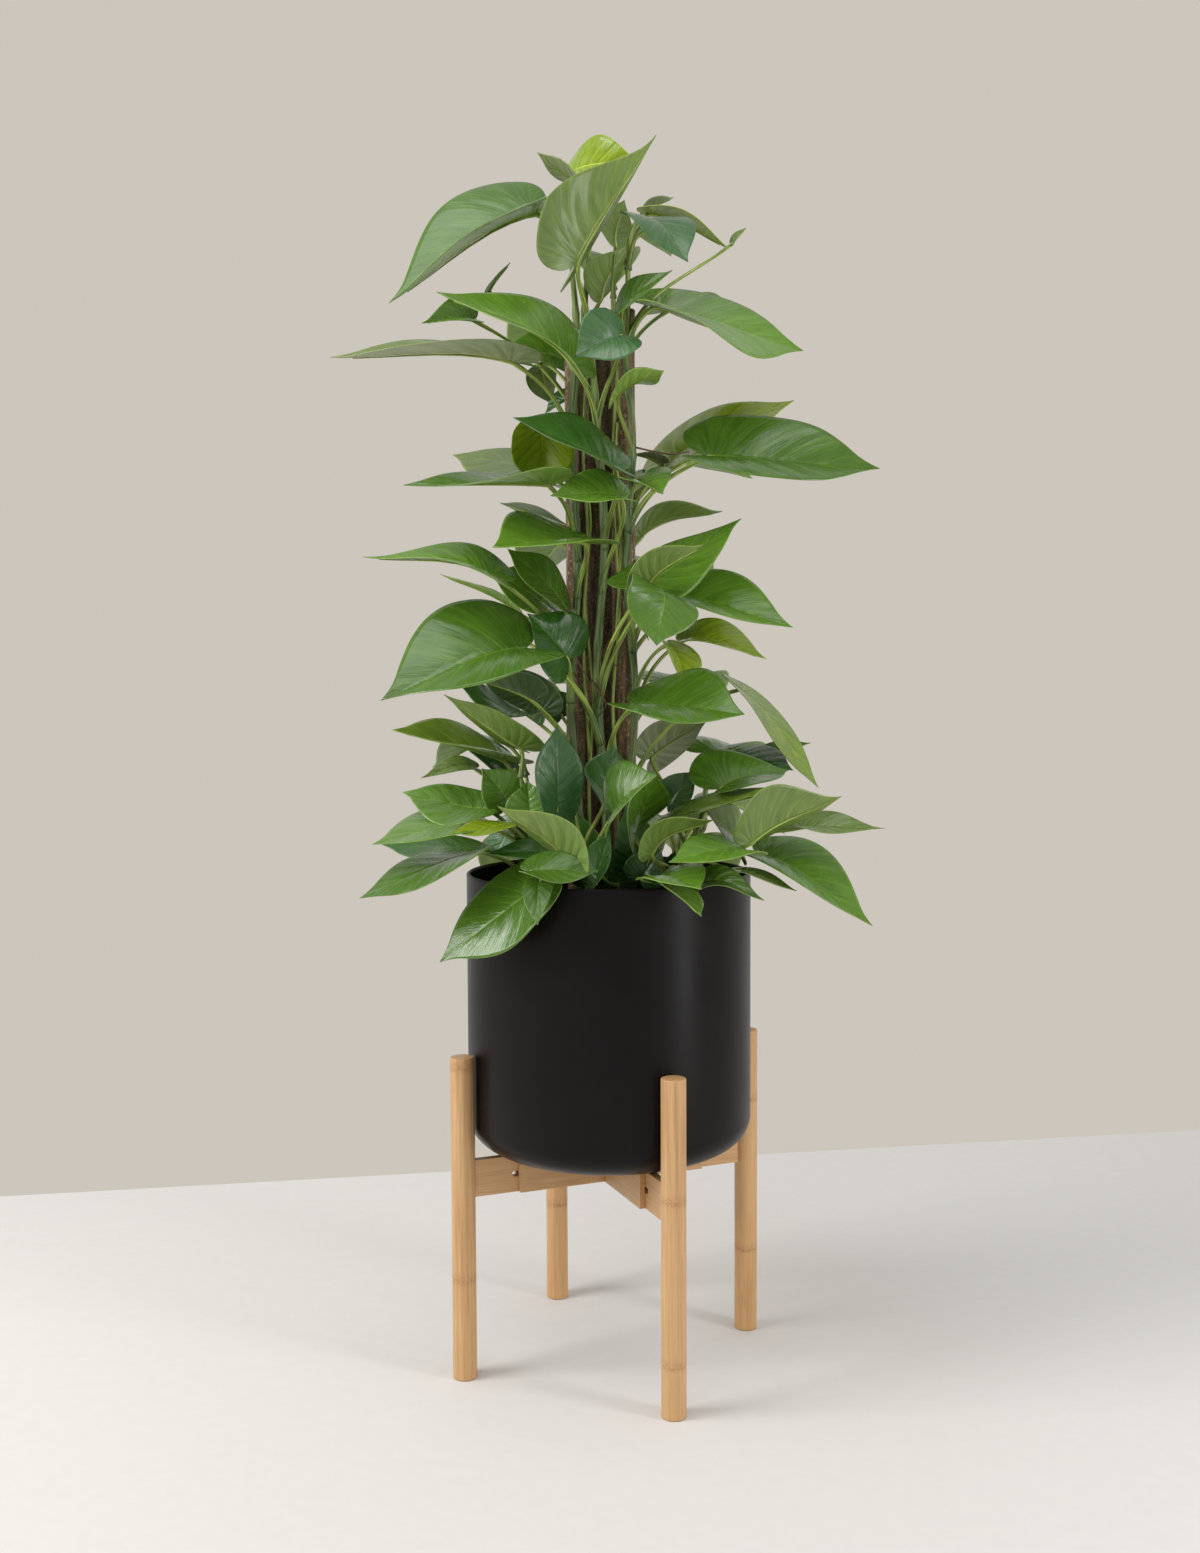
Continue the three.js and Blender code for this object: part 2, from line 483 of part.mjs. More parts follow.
// One of the two boards of a beam. The notches let it through the boards of the other beam, and the pins sit
// in blind holes on its inner side.
function beamBoard(corner, side, notchedAbove) {
  const low = BEAM_TOP - BEAM_HEIGHT;
  let solid = board(rectangle(-BOARD_REACH, BOARD_REACH, low, BEAM_TOP), BOARD_THICKNESS)
    .translate([0, side * BOARD_OFFSET, 0]);
  const middle = BEAM_TOP - BEAM_HEIGHT / 2;
  const [from, to] = notchedAbove 
    ? [middle - GAP / 2, BEAM_TOP + OVERCUT]
    : [low - OVERCUT, middle + GAP / 2];
  const wide = BOARD_THICKNESS / 2 + GAP;
  for (const place of [-BOARD_OFFSET, BOARD_OFFSET]) {
    const notch = board(rectangle(place - wide, place + wide, from, to), 4 * BOARD_THICKNESS);
    solid = solid.subtract(notch.translate([0, side * BOARD_OFFSET, 0]));
  }
  const half = ARM_THICKNESS / 2 + GAP + PIN_BURIED + GAP;
  for (const place of [-PIN_PLACE, PIN_PLACE]) {
    solid = solid.subtract(crossRod(PIN_RADIUS + GAP, half, place));
  }
  return turnedTo(solid, cornerTurn(corner));
}

// A quarter of an ellipse from flat floor to upright wall, as [radius, height] points
function footCurve(radius, floor, wide, high, steps) {
  const points = [];
  for (let i = 0; i <= steps; i += 1) {
    const turn = i / steps * Math.PI / 2;
    points.push([radius - wide + wide * Math.sin(turn), floor + high - high * Math.cos(turn)]);
  }
  return points;
}

function pot() {
  const inside = POT_RADIUS - POT_WALL;
  const floor = POT_BOTTOM + POT_FLOOR;
  const innerFoot = footCurve(inside, floor, FOOT_ROUND_WIDTH, FOOT_ROUND_HEIGHT, 3).reverse();
  return turned([
    [0, POT_BOTTOM],
    ...footCurve(POT_RADIUS, POT_BOTTOM, FOOT_ROUND_WIDTH, FOOT_ROUND_HEIGHT, 5),
    [POT_RADIUS, POT_RIM - LIP_ROUND],
    [POT_RADIUS - LIP_ROUND, POT_RIM],
    [inside + LIP_ROUND, POT_RIM],
    [inside, POT_RIM - LIP_ROUND],
    ...innerFoot,
    [0, floor],
  ], ROUND_SIDES);
}

function soil() {
  const radius = POT_RADIUS - POT_WALL - GAP;
  const floor = POT_BOTTOM + POT_FLOOR + GAP;
  let solid = turned([
    [0, floor],
    ...footCurve(radius, floor, FOOT_ROUND_WIDTH, FOOT_ROUND_HEIGHT, 3),
    [radius, SOIL_TOP - SOIL_CROWN / 2],
    [radius * 0.6, SOIL_TOP + SOIL_CROWN / 2],
    [0, SOIL_TOP + SOIL_CROWN],
  ], ROUND_SIDES);
  for (const [, x, y] of STAKES) {
    solid = solid.subtract(hole(x, y, STAKE_RADIUS + STAKE_ROUGH + HOLE_GAP, STAKE_FOOT - GAP));
  }
  for (const stem of Object.values(STEMS)) {
    solid = solid.subtract(stemHole(stem));
  }
  return solid;
}

// A plain round hole for a stake, open at the top of the soil
function hole(x, y, radius, floor) {
  const top = SOIL_TOP + OVERCUT + SOIL_CROWN;
  return turned([[0, floor], [radius, floor], [radius, top], [0, top]], 10).translate([x, y, 0]);
}

// A stem's hole follows its lean
function stemHole(stem) {
  const curve = stemCurve(stem.path);
  const start = curve.getPoint(0);
  const lean = curve.getPoint(0.02).sub(start).normalize();
  const long = (SOIL_TOP + OVERCUT + SOIL_CROWN - STEM_HOLE_FLOOR) / lean.z;
  const bottom = start.clone().addScaledVector(lean, (STEM_HOLE_FLOOR - start.z) / lean.z);
  const line = new THREE.LineCurve3(bottom, bottom.clone().addScaledVector(lean, long));
  return tube(line, stem.radius + 2 * HOLE_GAP, 6, 1);
}

// A rough stake: round, with soft upright ridges
function stake(x, y, top, phase) {
  const sides = 9;
  const rings = 6;
  const positions = [];
  for (let ring = 0; ring <= rings; ring += 1) {
    const share = ring / rings;
    const z = STAKE_FOOT + (top - STAKE_FOOT) * share;
    for (let side = 0; side < sides; side += 1) {
      const turn = side / sides * Math.PI * 2;
      const rough = 0.5 * Math.sin(3 * turn + phase + 2 * share) + 0.4 * Math.sin(5 * turn + 9 * share);
      const radius = STAKE_RADIUS + rough;
      positions.push(x + radius * Math.cos(turn), y + radius * Math.sin(turn), z);
    }
  }
  const triangles = [];
  for (let ring = 0; ring < rings; ring += 1) {
    for (let side = 0; side < sides; side += 1) {
      const a = ring * sides + side;
      const b = ring * sides + (side + 1) % sides;
      triangles.push(a, b, b + sides, a, b + sides, a + sides);
    }
  }
  for (let side = 1; side < sides - 1; side += 1) {
    triangles.push(0, side + 1, side);
    const last = rings * sides;
    triangles.push(last, last + side, last + side + 1);
  }
  return solidFrom(positions, triangles);
}

function stemCurve(path) {
  const points = path.map((point) => new THREE.Vector3(...point));
  return new THREE.CatmullRomCurve3(points, false, 'catmullrom', 0.5);
}

// A round bar along a curve, with flat ends
function tube(curve, radius, sides, steps) {
  const positions = [];
  const triangles = [];
  const frames = curve.computeFrenetFrames(steps, false);
  for (let step = 0; step <= steps; step += 1) {
    const middle = curve.getPointAt(step / steps);
    positions.push(...ringAt(middle, frames.normals[step], frames.binormals[step], radius, sides));
  }
  joinRings(triangles, 0, steps, sides);
  for (let side = 1; side < sides - 1; side += 1) {
    const last = steps * sides;
    triangles.push(0, side + 1, side, last, last + side, last + side + 1);
  }
  return facingOut(positions, triangles);
}

// A round bar along a curve whose ends run out to points, to be sunk in what they join
function spindle(curve, radius, sides, steps) {
  const frames = curve.computeFrenetFrames(steps, false);
  const positions = [];
  const triangles = [];
  for (let step = 1; step < steps; step += 1) {
    const middle = curve.getPointAt(step / steps);
    positions.push(...ringAt(middle, frames.normals[step], frames.binormals[step], radius, sides));
  }
  const start = positions.length / 3;
  positions.push(...curve.getPointAt(0), ...curve.getPointAt(1));
  joinRings(triangles, 0, steps - 2, sides);
  for (let side = 0; side < sides; side += 1) {
    const next = (side + 1) % sides;
    const last = (steps - 2) * sides;
    triangles.push(start, next, side, start + 1, last + side, last + next);
  }
  return facingOut(positions, triangles);
}

function ringAt(middle, right, up, radius, sides) {
  const places = [];
  for (let side = 0; side < sides; side += 1) {
    const turn = side / sides * Math.PI * 2;
    places.push(...middle.clone()
      .addScaledVector(right, radius * Math.cos(turn))
      .addScaledVector(up, radius * Math.sin(turn)));
  }
  return places;
}

function joinRings(triangles, from, to, sides) {
  for (let ring = from; ring < to; ring += 1) {
    for (let side = 0; side < sides; side += 1) {
      const a = ring * sides + side;
      const b = ring * sides + (side + 1) % sides;
      triangles.push(a, b, b + sides, a, b + sides, a + sides);
    }
  }
}

// The blade's outline on one side, from the lobe beside the petiole to the last point before the tip: place
// along the midrib, share of the half width, and the place on the midrib it grows from
const MARGIN = [
  [-0.12, 0.4, 0],
  [-0.04, 0.9, 0],
  [0.2, 1, 0.16],
  [0.52, 0.8, 0.46],
  [0.78, 0.4, 0.76],
];

// A leaf's own axes: along the midrib, across it, and up from its upper side
function leafAxes(base, tip, face) {
  const start = new THREE.Vector3(...base);
  const along = new THREE.Vector3(...tip).sub(start);
  const length = along.length();
  along.normalize();
  const up = new THREE.Vector3(...face);
  up.addScaledVector(along, -up.dot(along)).normalize();
  const across = new THREE.Vector3().crossVectors(up, along);
  return { start, length, along, up, across };
}

// A point of the blade: u is the share of the midrib's length, v runs from -1 to 1 across the blade, and
// lift is the height above the middle of its thickness. The taper narrows the tip part and the twist turns it.
function bladePoint(axes, leaf, u, v, lift) {
  const [, , width, , fold, arch, twist, taper] = leaf;
  const tipward = Math.min(Math.max((u - TAPER_START) / (1 - TAPER_START), 0), 1);
  const side = v * (1 - taper * tipward);
  const outward = side * width / 2;
  const folded = Math.tan(fold * Math.PI / 180) * Math.abs(outward) * (1 - FOLD_EASE * Math.abs(side)) + lift;
  const turn = u * twist * Math.PI / 180;
  const bow = u < 0 ? u : u * (1 - u) ** 2;
  return axes.start.clone()
    .addScaledVector(axes.along, u * axes.length)
    .addScaledVector(axes.across, outward * Math.cos(turn) - folded * Math.sin(turn))
    .addScaledVector(axes.up, outward * Math.sin(turn) + folded * Math.cos(turn)
      + ARCH_SHAPE * arch * axes.length * bow);
}

// A blade is the same net of triangles on its upper and lower side, joined round the edge. Its places are the
// five along the midrib and then each side's margin. A small leaf has no lobe beside the petiole.
function blade(leaf) {
  const [base, tip, width, face] = leaf;
  const axes = leafAxes(base, tip, face);
  const margin = width < SMALL_LEAF ? MARGIN.slice(1) : MARGIN;
  const places = [0, MARGIN[2][2], MARGIN[3][2], MARGIN[4][2], 1].map((u) => [u, 0]);
  const ribOf = margin.length === MARGIN.length ? [0, 0, 0, 1, 2, 3] : [0, 0, 1, 2, 3];
  const tipPlace = 4;
  const net = [];
  const edges = [];
  for (const side of [-1, 1]) {
    const first = places.length;
    for (const [u, v] of margin) places.push([u, side * v]);
    const rim = [0, ...margin.map((row, i) => first + i), tipPlace];
    for (let i = 1; i + 1 < rim.length; i += 1) {
      const [near, far] = [ribOf[i], ribOf[i + 1] ?? tipPlace];
      net.push(sided(side, near, rim[i], rim[i + 1]));
      if (far !== near && far !== tipPlace) net.push(sided(side, near, rim[i + 1], far));
    }
    for (let i = 0; i + 1 < rim.length; i += 1) {
      edges.push(side > 0 ? [rim[i], rim[i + 1]] : [rim[i + 1], rim[i]]);
    }
  }
  const count = places.length;
  const positions = [];
  for (const lift of [BLADE_THICKNESS / 2, -BLADE_THICKNESS / 2]) {
    for (const [u, v] of places) positions.push(...bladePoint(axes, leaf, u, v, lift));
  }
  const triangles = [];
  for (const [a, b, c] of net) triangles.push(a, c, b, a + count, b + count, c + count);
  for (const [a, b] of edges) triangles.push(a, b, b + count, a, b + count, a + count);
  return facingOut(positions, triangles);
}

function sided(side, a, b, c) {
  return side > 0 ? [a, b, c] : [c, b, a];
}

// A closed solid turned inside out has a negative volume, and is built again with its faces flipped
function facingOut(positions, triangles) {
  const solid = solidFrom(positions, triangles);
  if (solid.volume() > 0) return solid;
  return solidFrom(positions, triangles.toReversed());
}

// The lowest point of a stem's middle line that is at a height, or a point just inside its top
function stemPointAt(curve, height) {
  const last = STEM_SAMPLES - STEM_TOP_MARGIN;
  for (let i = 0; i < last; i += 1) {
    const point = curve.getPoint(i / STEM_SAMPLES);
    if (point.z >= height) return point;
  }
  return curve.getPoint(last / STEM_SAMPLES);
}

// A petiole leaves the stem below its leaf, rises while it leans outward, and runs into the blade's midrib
function petiole(curve, leaf, order) {
  const [base, tip, width, face] = leaf;
  const axes = leafAxes(base, tip, face);
  const end = bladePoint(axes, leaf, 0, 0, 0).lerp(bladePoint(axes, leaf, MARGIN[2][2], 0, 0), PETIOLE_END);
  const level = stemPointAt(curve, base[2]);
  const reach = Math.hypot(base[0] - level.x, base[1] - level.y);
  const lowest = PETIOLE_LOWEST + PETIOLE_STAGGER * (order % 5);
  const start = stemPointAt(curve, Math.max(base[2] - PETIOLE_DROP - PETIOLE_SLANT * reach, lowest));
  const way = end.clone().sub(start);
  const span = way.length();
  const outward = new THREE.Vector3(way.x / span, way.y / span, 0);
  const leaving = outward.clone().multiplyScalar(PETIOLE_LEAN).add(new THREE.Vector3(0, 0, 1)).normalize();
  const meeting = outward.clone().multiplyScalar(MEETING_OUT)
    .addScaledVector(axes.along, MEETING_ALONG)
    .add(new THREE.Vector3(0, 0, MEETING_RISE * Math.max(MEETING_FALL, way.z / span)))
    .normalize();
  const pull = PETIOLE_PULL * span;
  const path = new THREE.CubicBezierCurve3(
    start,
    start.clone().addScaledVector(leaving, pull),
    end.clone().addScaledVector(meeting, -pull),
    end,
  );
  const steps = span > LONG_PETIOLE ? 4 : 3;
  return spindle(path, PETIOLE_THIN + PETIOLE_PER_WIDTH * width, 4, steps);
}

function leafyStem(stem) {
  const curve = stemCurve(stem.path);
  let solid = tube(curve, stem.radius, 5, 2 * (stem.path.length - 1));
  for (const [order, leaf] of stem.leaves.entries()) {
    solid = solid.add(petiole(curve, leaf, order)).add(blade(leaf));
  }
  return solid.simplify(JOIN_TOLERANCE);
}

const model = new THREE.Group();

for (const [corner, where] of CORNERS.entries()) {
  model.add(named(`leg_${where}`, geometryOf(leg(corner)), bambooMaterial()));
  model.add(named(`arm_${where}`, geometryOf(arm(corner)), bambooMaterial()));
  model.add(named(`pin_${where}`, geometryOf(pin(corner)), steelMaterial()));
}
model.add(named('board_lengthways_right', geometryOf(beamBoard(0, 1, true)), bambooMaterial()));
model.add(named('board_lengthways_left', geometryOf(beamBoard(0, -1, true)), bambooMaterial()));
model.add(named('board_crossways_back', geometryOf(beamBoard(1, 1, false)), bambooMaterial()));
model.add(named('board_crossways_front', geometryOf(beamBoard(1, -1, false)), bambooMaterial()));
model.add(named('pot', geometryOf(pot()), potMaterial()));
model.add(named('soil', geometryOf(soil()), soilMaterial()));
for (const [name, x, y, top] of STAKES) {
  model.add(named(name, geometryOf(stake(x, y, top, x)), barkMaterial()));
}
for (const [name, stem] of Object.entries(STEMS)) {
  model.add(named(name, geometryOf(leafyStem(stem)), leafMaterial(stem.leaves[0][8])));
}

export default model;
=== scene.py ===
import json
import math
import random

import bpy
import numpy as np
from mathutils import Matrix, Vector

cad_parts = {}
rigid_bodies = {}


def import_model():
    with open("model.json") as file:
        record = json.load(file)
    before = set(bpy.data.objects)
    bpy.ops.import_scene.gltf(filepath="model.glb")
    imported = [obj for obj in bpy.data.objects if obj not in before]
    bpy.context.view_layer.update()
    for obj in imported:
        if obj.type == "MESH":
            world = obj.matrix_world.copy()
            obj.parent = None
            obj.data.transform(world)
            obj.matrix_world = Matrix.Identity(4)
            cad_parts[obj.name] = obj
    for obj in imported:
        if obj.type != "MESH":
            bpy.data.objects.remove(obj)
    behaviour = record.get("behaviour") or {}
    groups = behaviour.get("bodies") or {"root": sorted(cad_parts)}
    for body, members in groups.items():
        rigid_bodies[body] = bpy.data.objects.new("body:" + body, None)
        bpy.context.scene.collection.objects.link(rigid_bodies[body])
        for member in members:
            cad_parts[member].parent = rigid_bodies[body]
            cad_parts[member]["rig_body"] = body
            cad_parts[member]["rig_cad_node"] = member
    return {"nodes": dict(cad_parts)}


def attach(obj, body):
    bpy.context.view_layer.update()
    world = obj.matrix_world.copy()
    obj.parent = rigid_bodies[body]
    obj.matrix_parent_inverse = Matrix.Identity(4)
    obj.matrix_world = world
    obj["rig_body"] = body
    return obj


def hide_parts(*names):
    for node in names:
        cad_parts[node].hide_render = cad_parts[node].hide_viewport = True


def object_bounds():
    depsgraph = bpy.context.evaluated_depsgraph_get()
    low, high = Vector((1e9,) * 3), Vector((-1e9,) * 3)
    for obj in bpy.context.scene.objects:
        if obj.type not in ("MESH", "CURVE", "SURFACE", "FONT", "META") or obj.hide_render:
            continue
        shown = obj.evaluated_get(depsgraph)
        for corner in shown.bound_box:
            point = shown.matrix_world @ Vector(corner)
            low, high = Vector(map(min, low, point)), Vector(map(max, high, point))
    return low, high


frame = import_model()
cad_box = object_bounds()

# The looks of a potted jade pothos on a bamboo stand. Sizes are millimetres until a mesh is made.
MM = 0.001
ROOT = "stand_middle"

# Stand
LEG_RADIUS = 12.5
LEG_HEIGHT = 335.0
LEG_EDGE = 1.4
LEG_CIRCLE = 162.5
FRONT_LEG_TURN = math.radians(22.1)
CORNERS = ("front", "right", "back", "left")
LEG_RINGS = {"front": (214, 52), "right": (258, 90), "back": (111, 290), "left": (324, 103)}

# Pot and soil
POT_RADIUS = 149.0
POT_RIM = 518.0
POT_BOTTOM = 227.3
POT_STRAIGHT = 300
POT_WALL = 4.0
POT_FLOOR = 7.0
FOOT_ROUND_WIDTH = 46.0
FOOT_ROUND_HEIGHT = 34.0
LIP_HEIGHT = 1.6
SOIL_TOP = 478.0
SOIL_HEAP = 2.5
SOIL_NARROWS = 300
SOIL_BOTTOM = 240
SOIL_CHIPS = 420

# Stakes. Each is its name, its place and its top.
STAKE_RADIUS = 12.5
STAKE_FOOT = 330.0
STAKES = (
    ("stake_left", -30.5, -5, 1056),
    ("stake_centre", -7, 15, 1060),
    ("stake_right", 17, -3, 1098),
)

# Leaves and petioles
BLADE_THICKNESS = 0.8
FOLD_EASE = 0.35
TAPER_START = 0.2
ARCH_SHAPE = 6.75
PETIOLE_THIN = 1.5
PETIOLE_DROP = 25.0
PETIOLE_SLANT = 0.75
PETIOLE_LOWEST = SOIL_TOP + 30
PETIOLE_STAGGER = 6.0
PETIOLE_END = 0.35
PETIOLE_PER_WIDTH = 1 / 150
FIRST_RIB = 0.16
VEIN_ROWS = 9
LINE_STEPS = 200

# How a petiole bends: how strongly, how far it leans out of its stem, and the way that it meets its blade
PETIOLE_PULL = 0.36
PETIOLE_LEAN = 0.45
MEETING_OUT = 0.8
MEETING_ALONG = 0.3
MEETING_RISE = 0.6
MEETING_FALL = -0.2

# How deep the edge of a piece is drawn in where it would pass the part's own box, and the room that it leaves
EDGE_REACH = 30.0
BOX_SPARE = 0.05

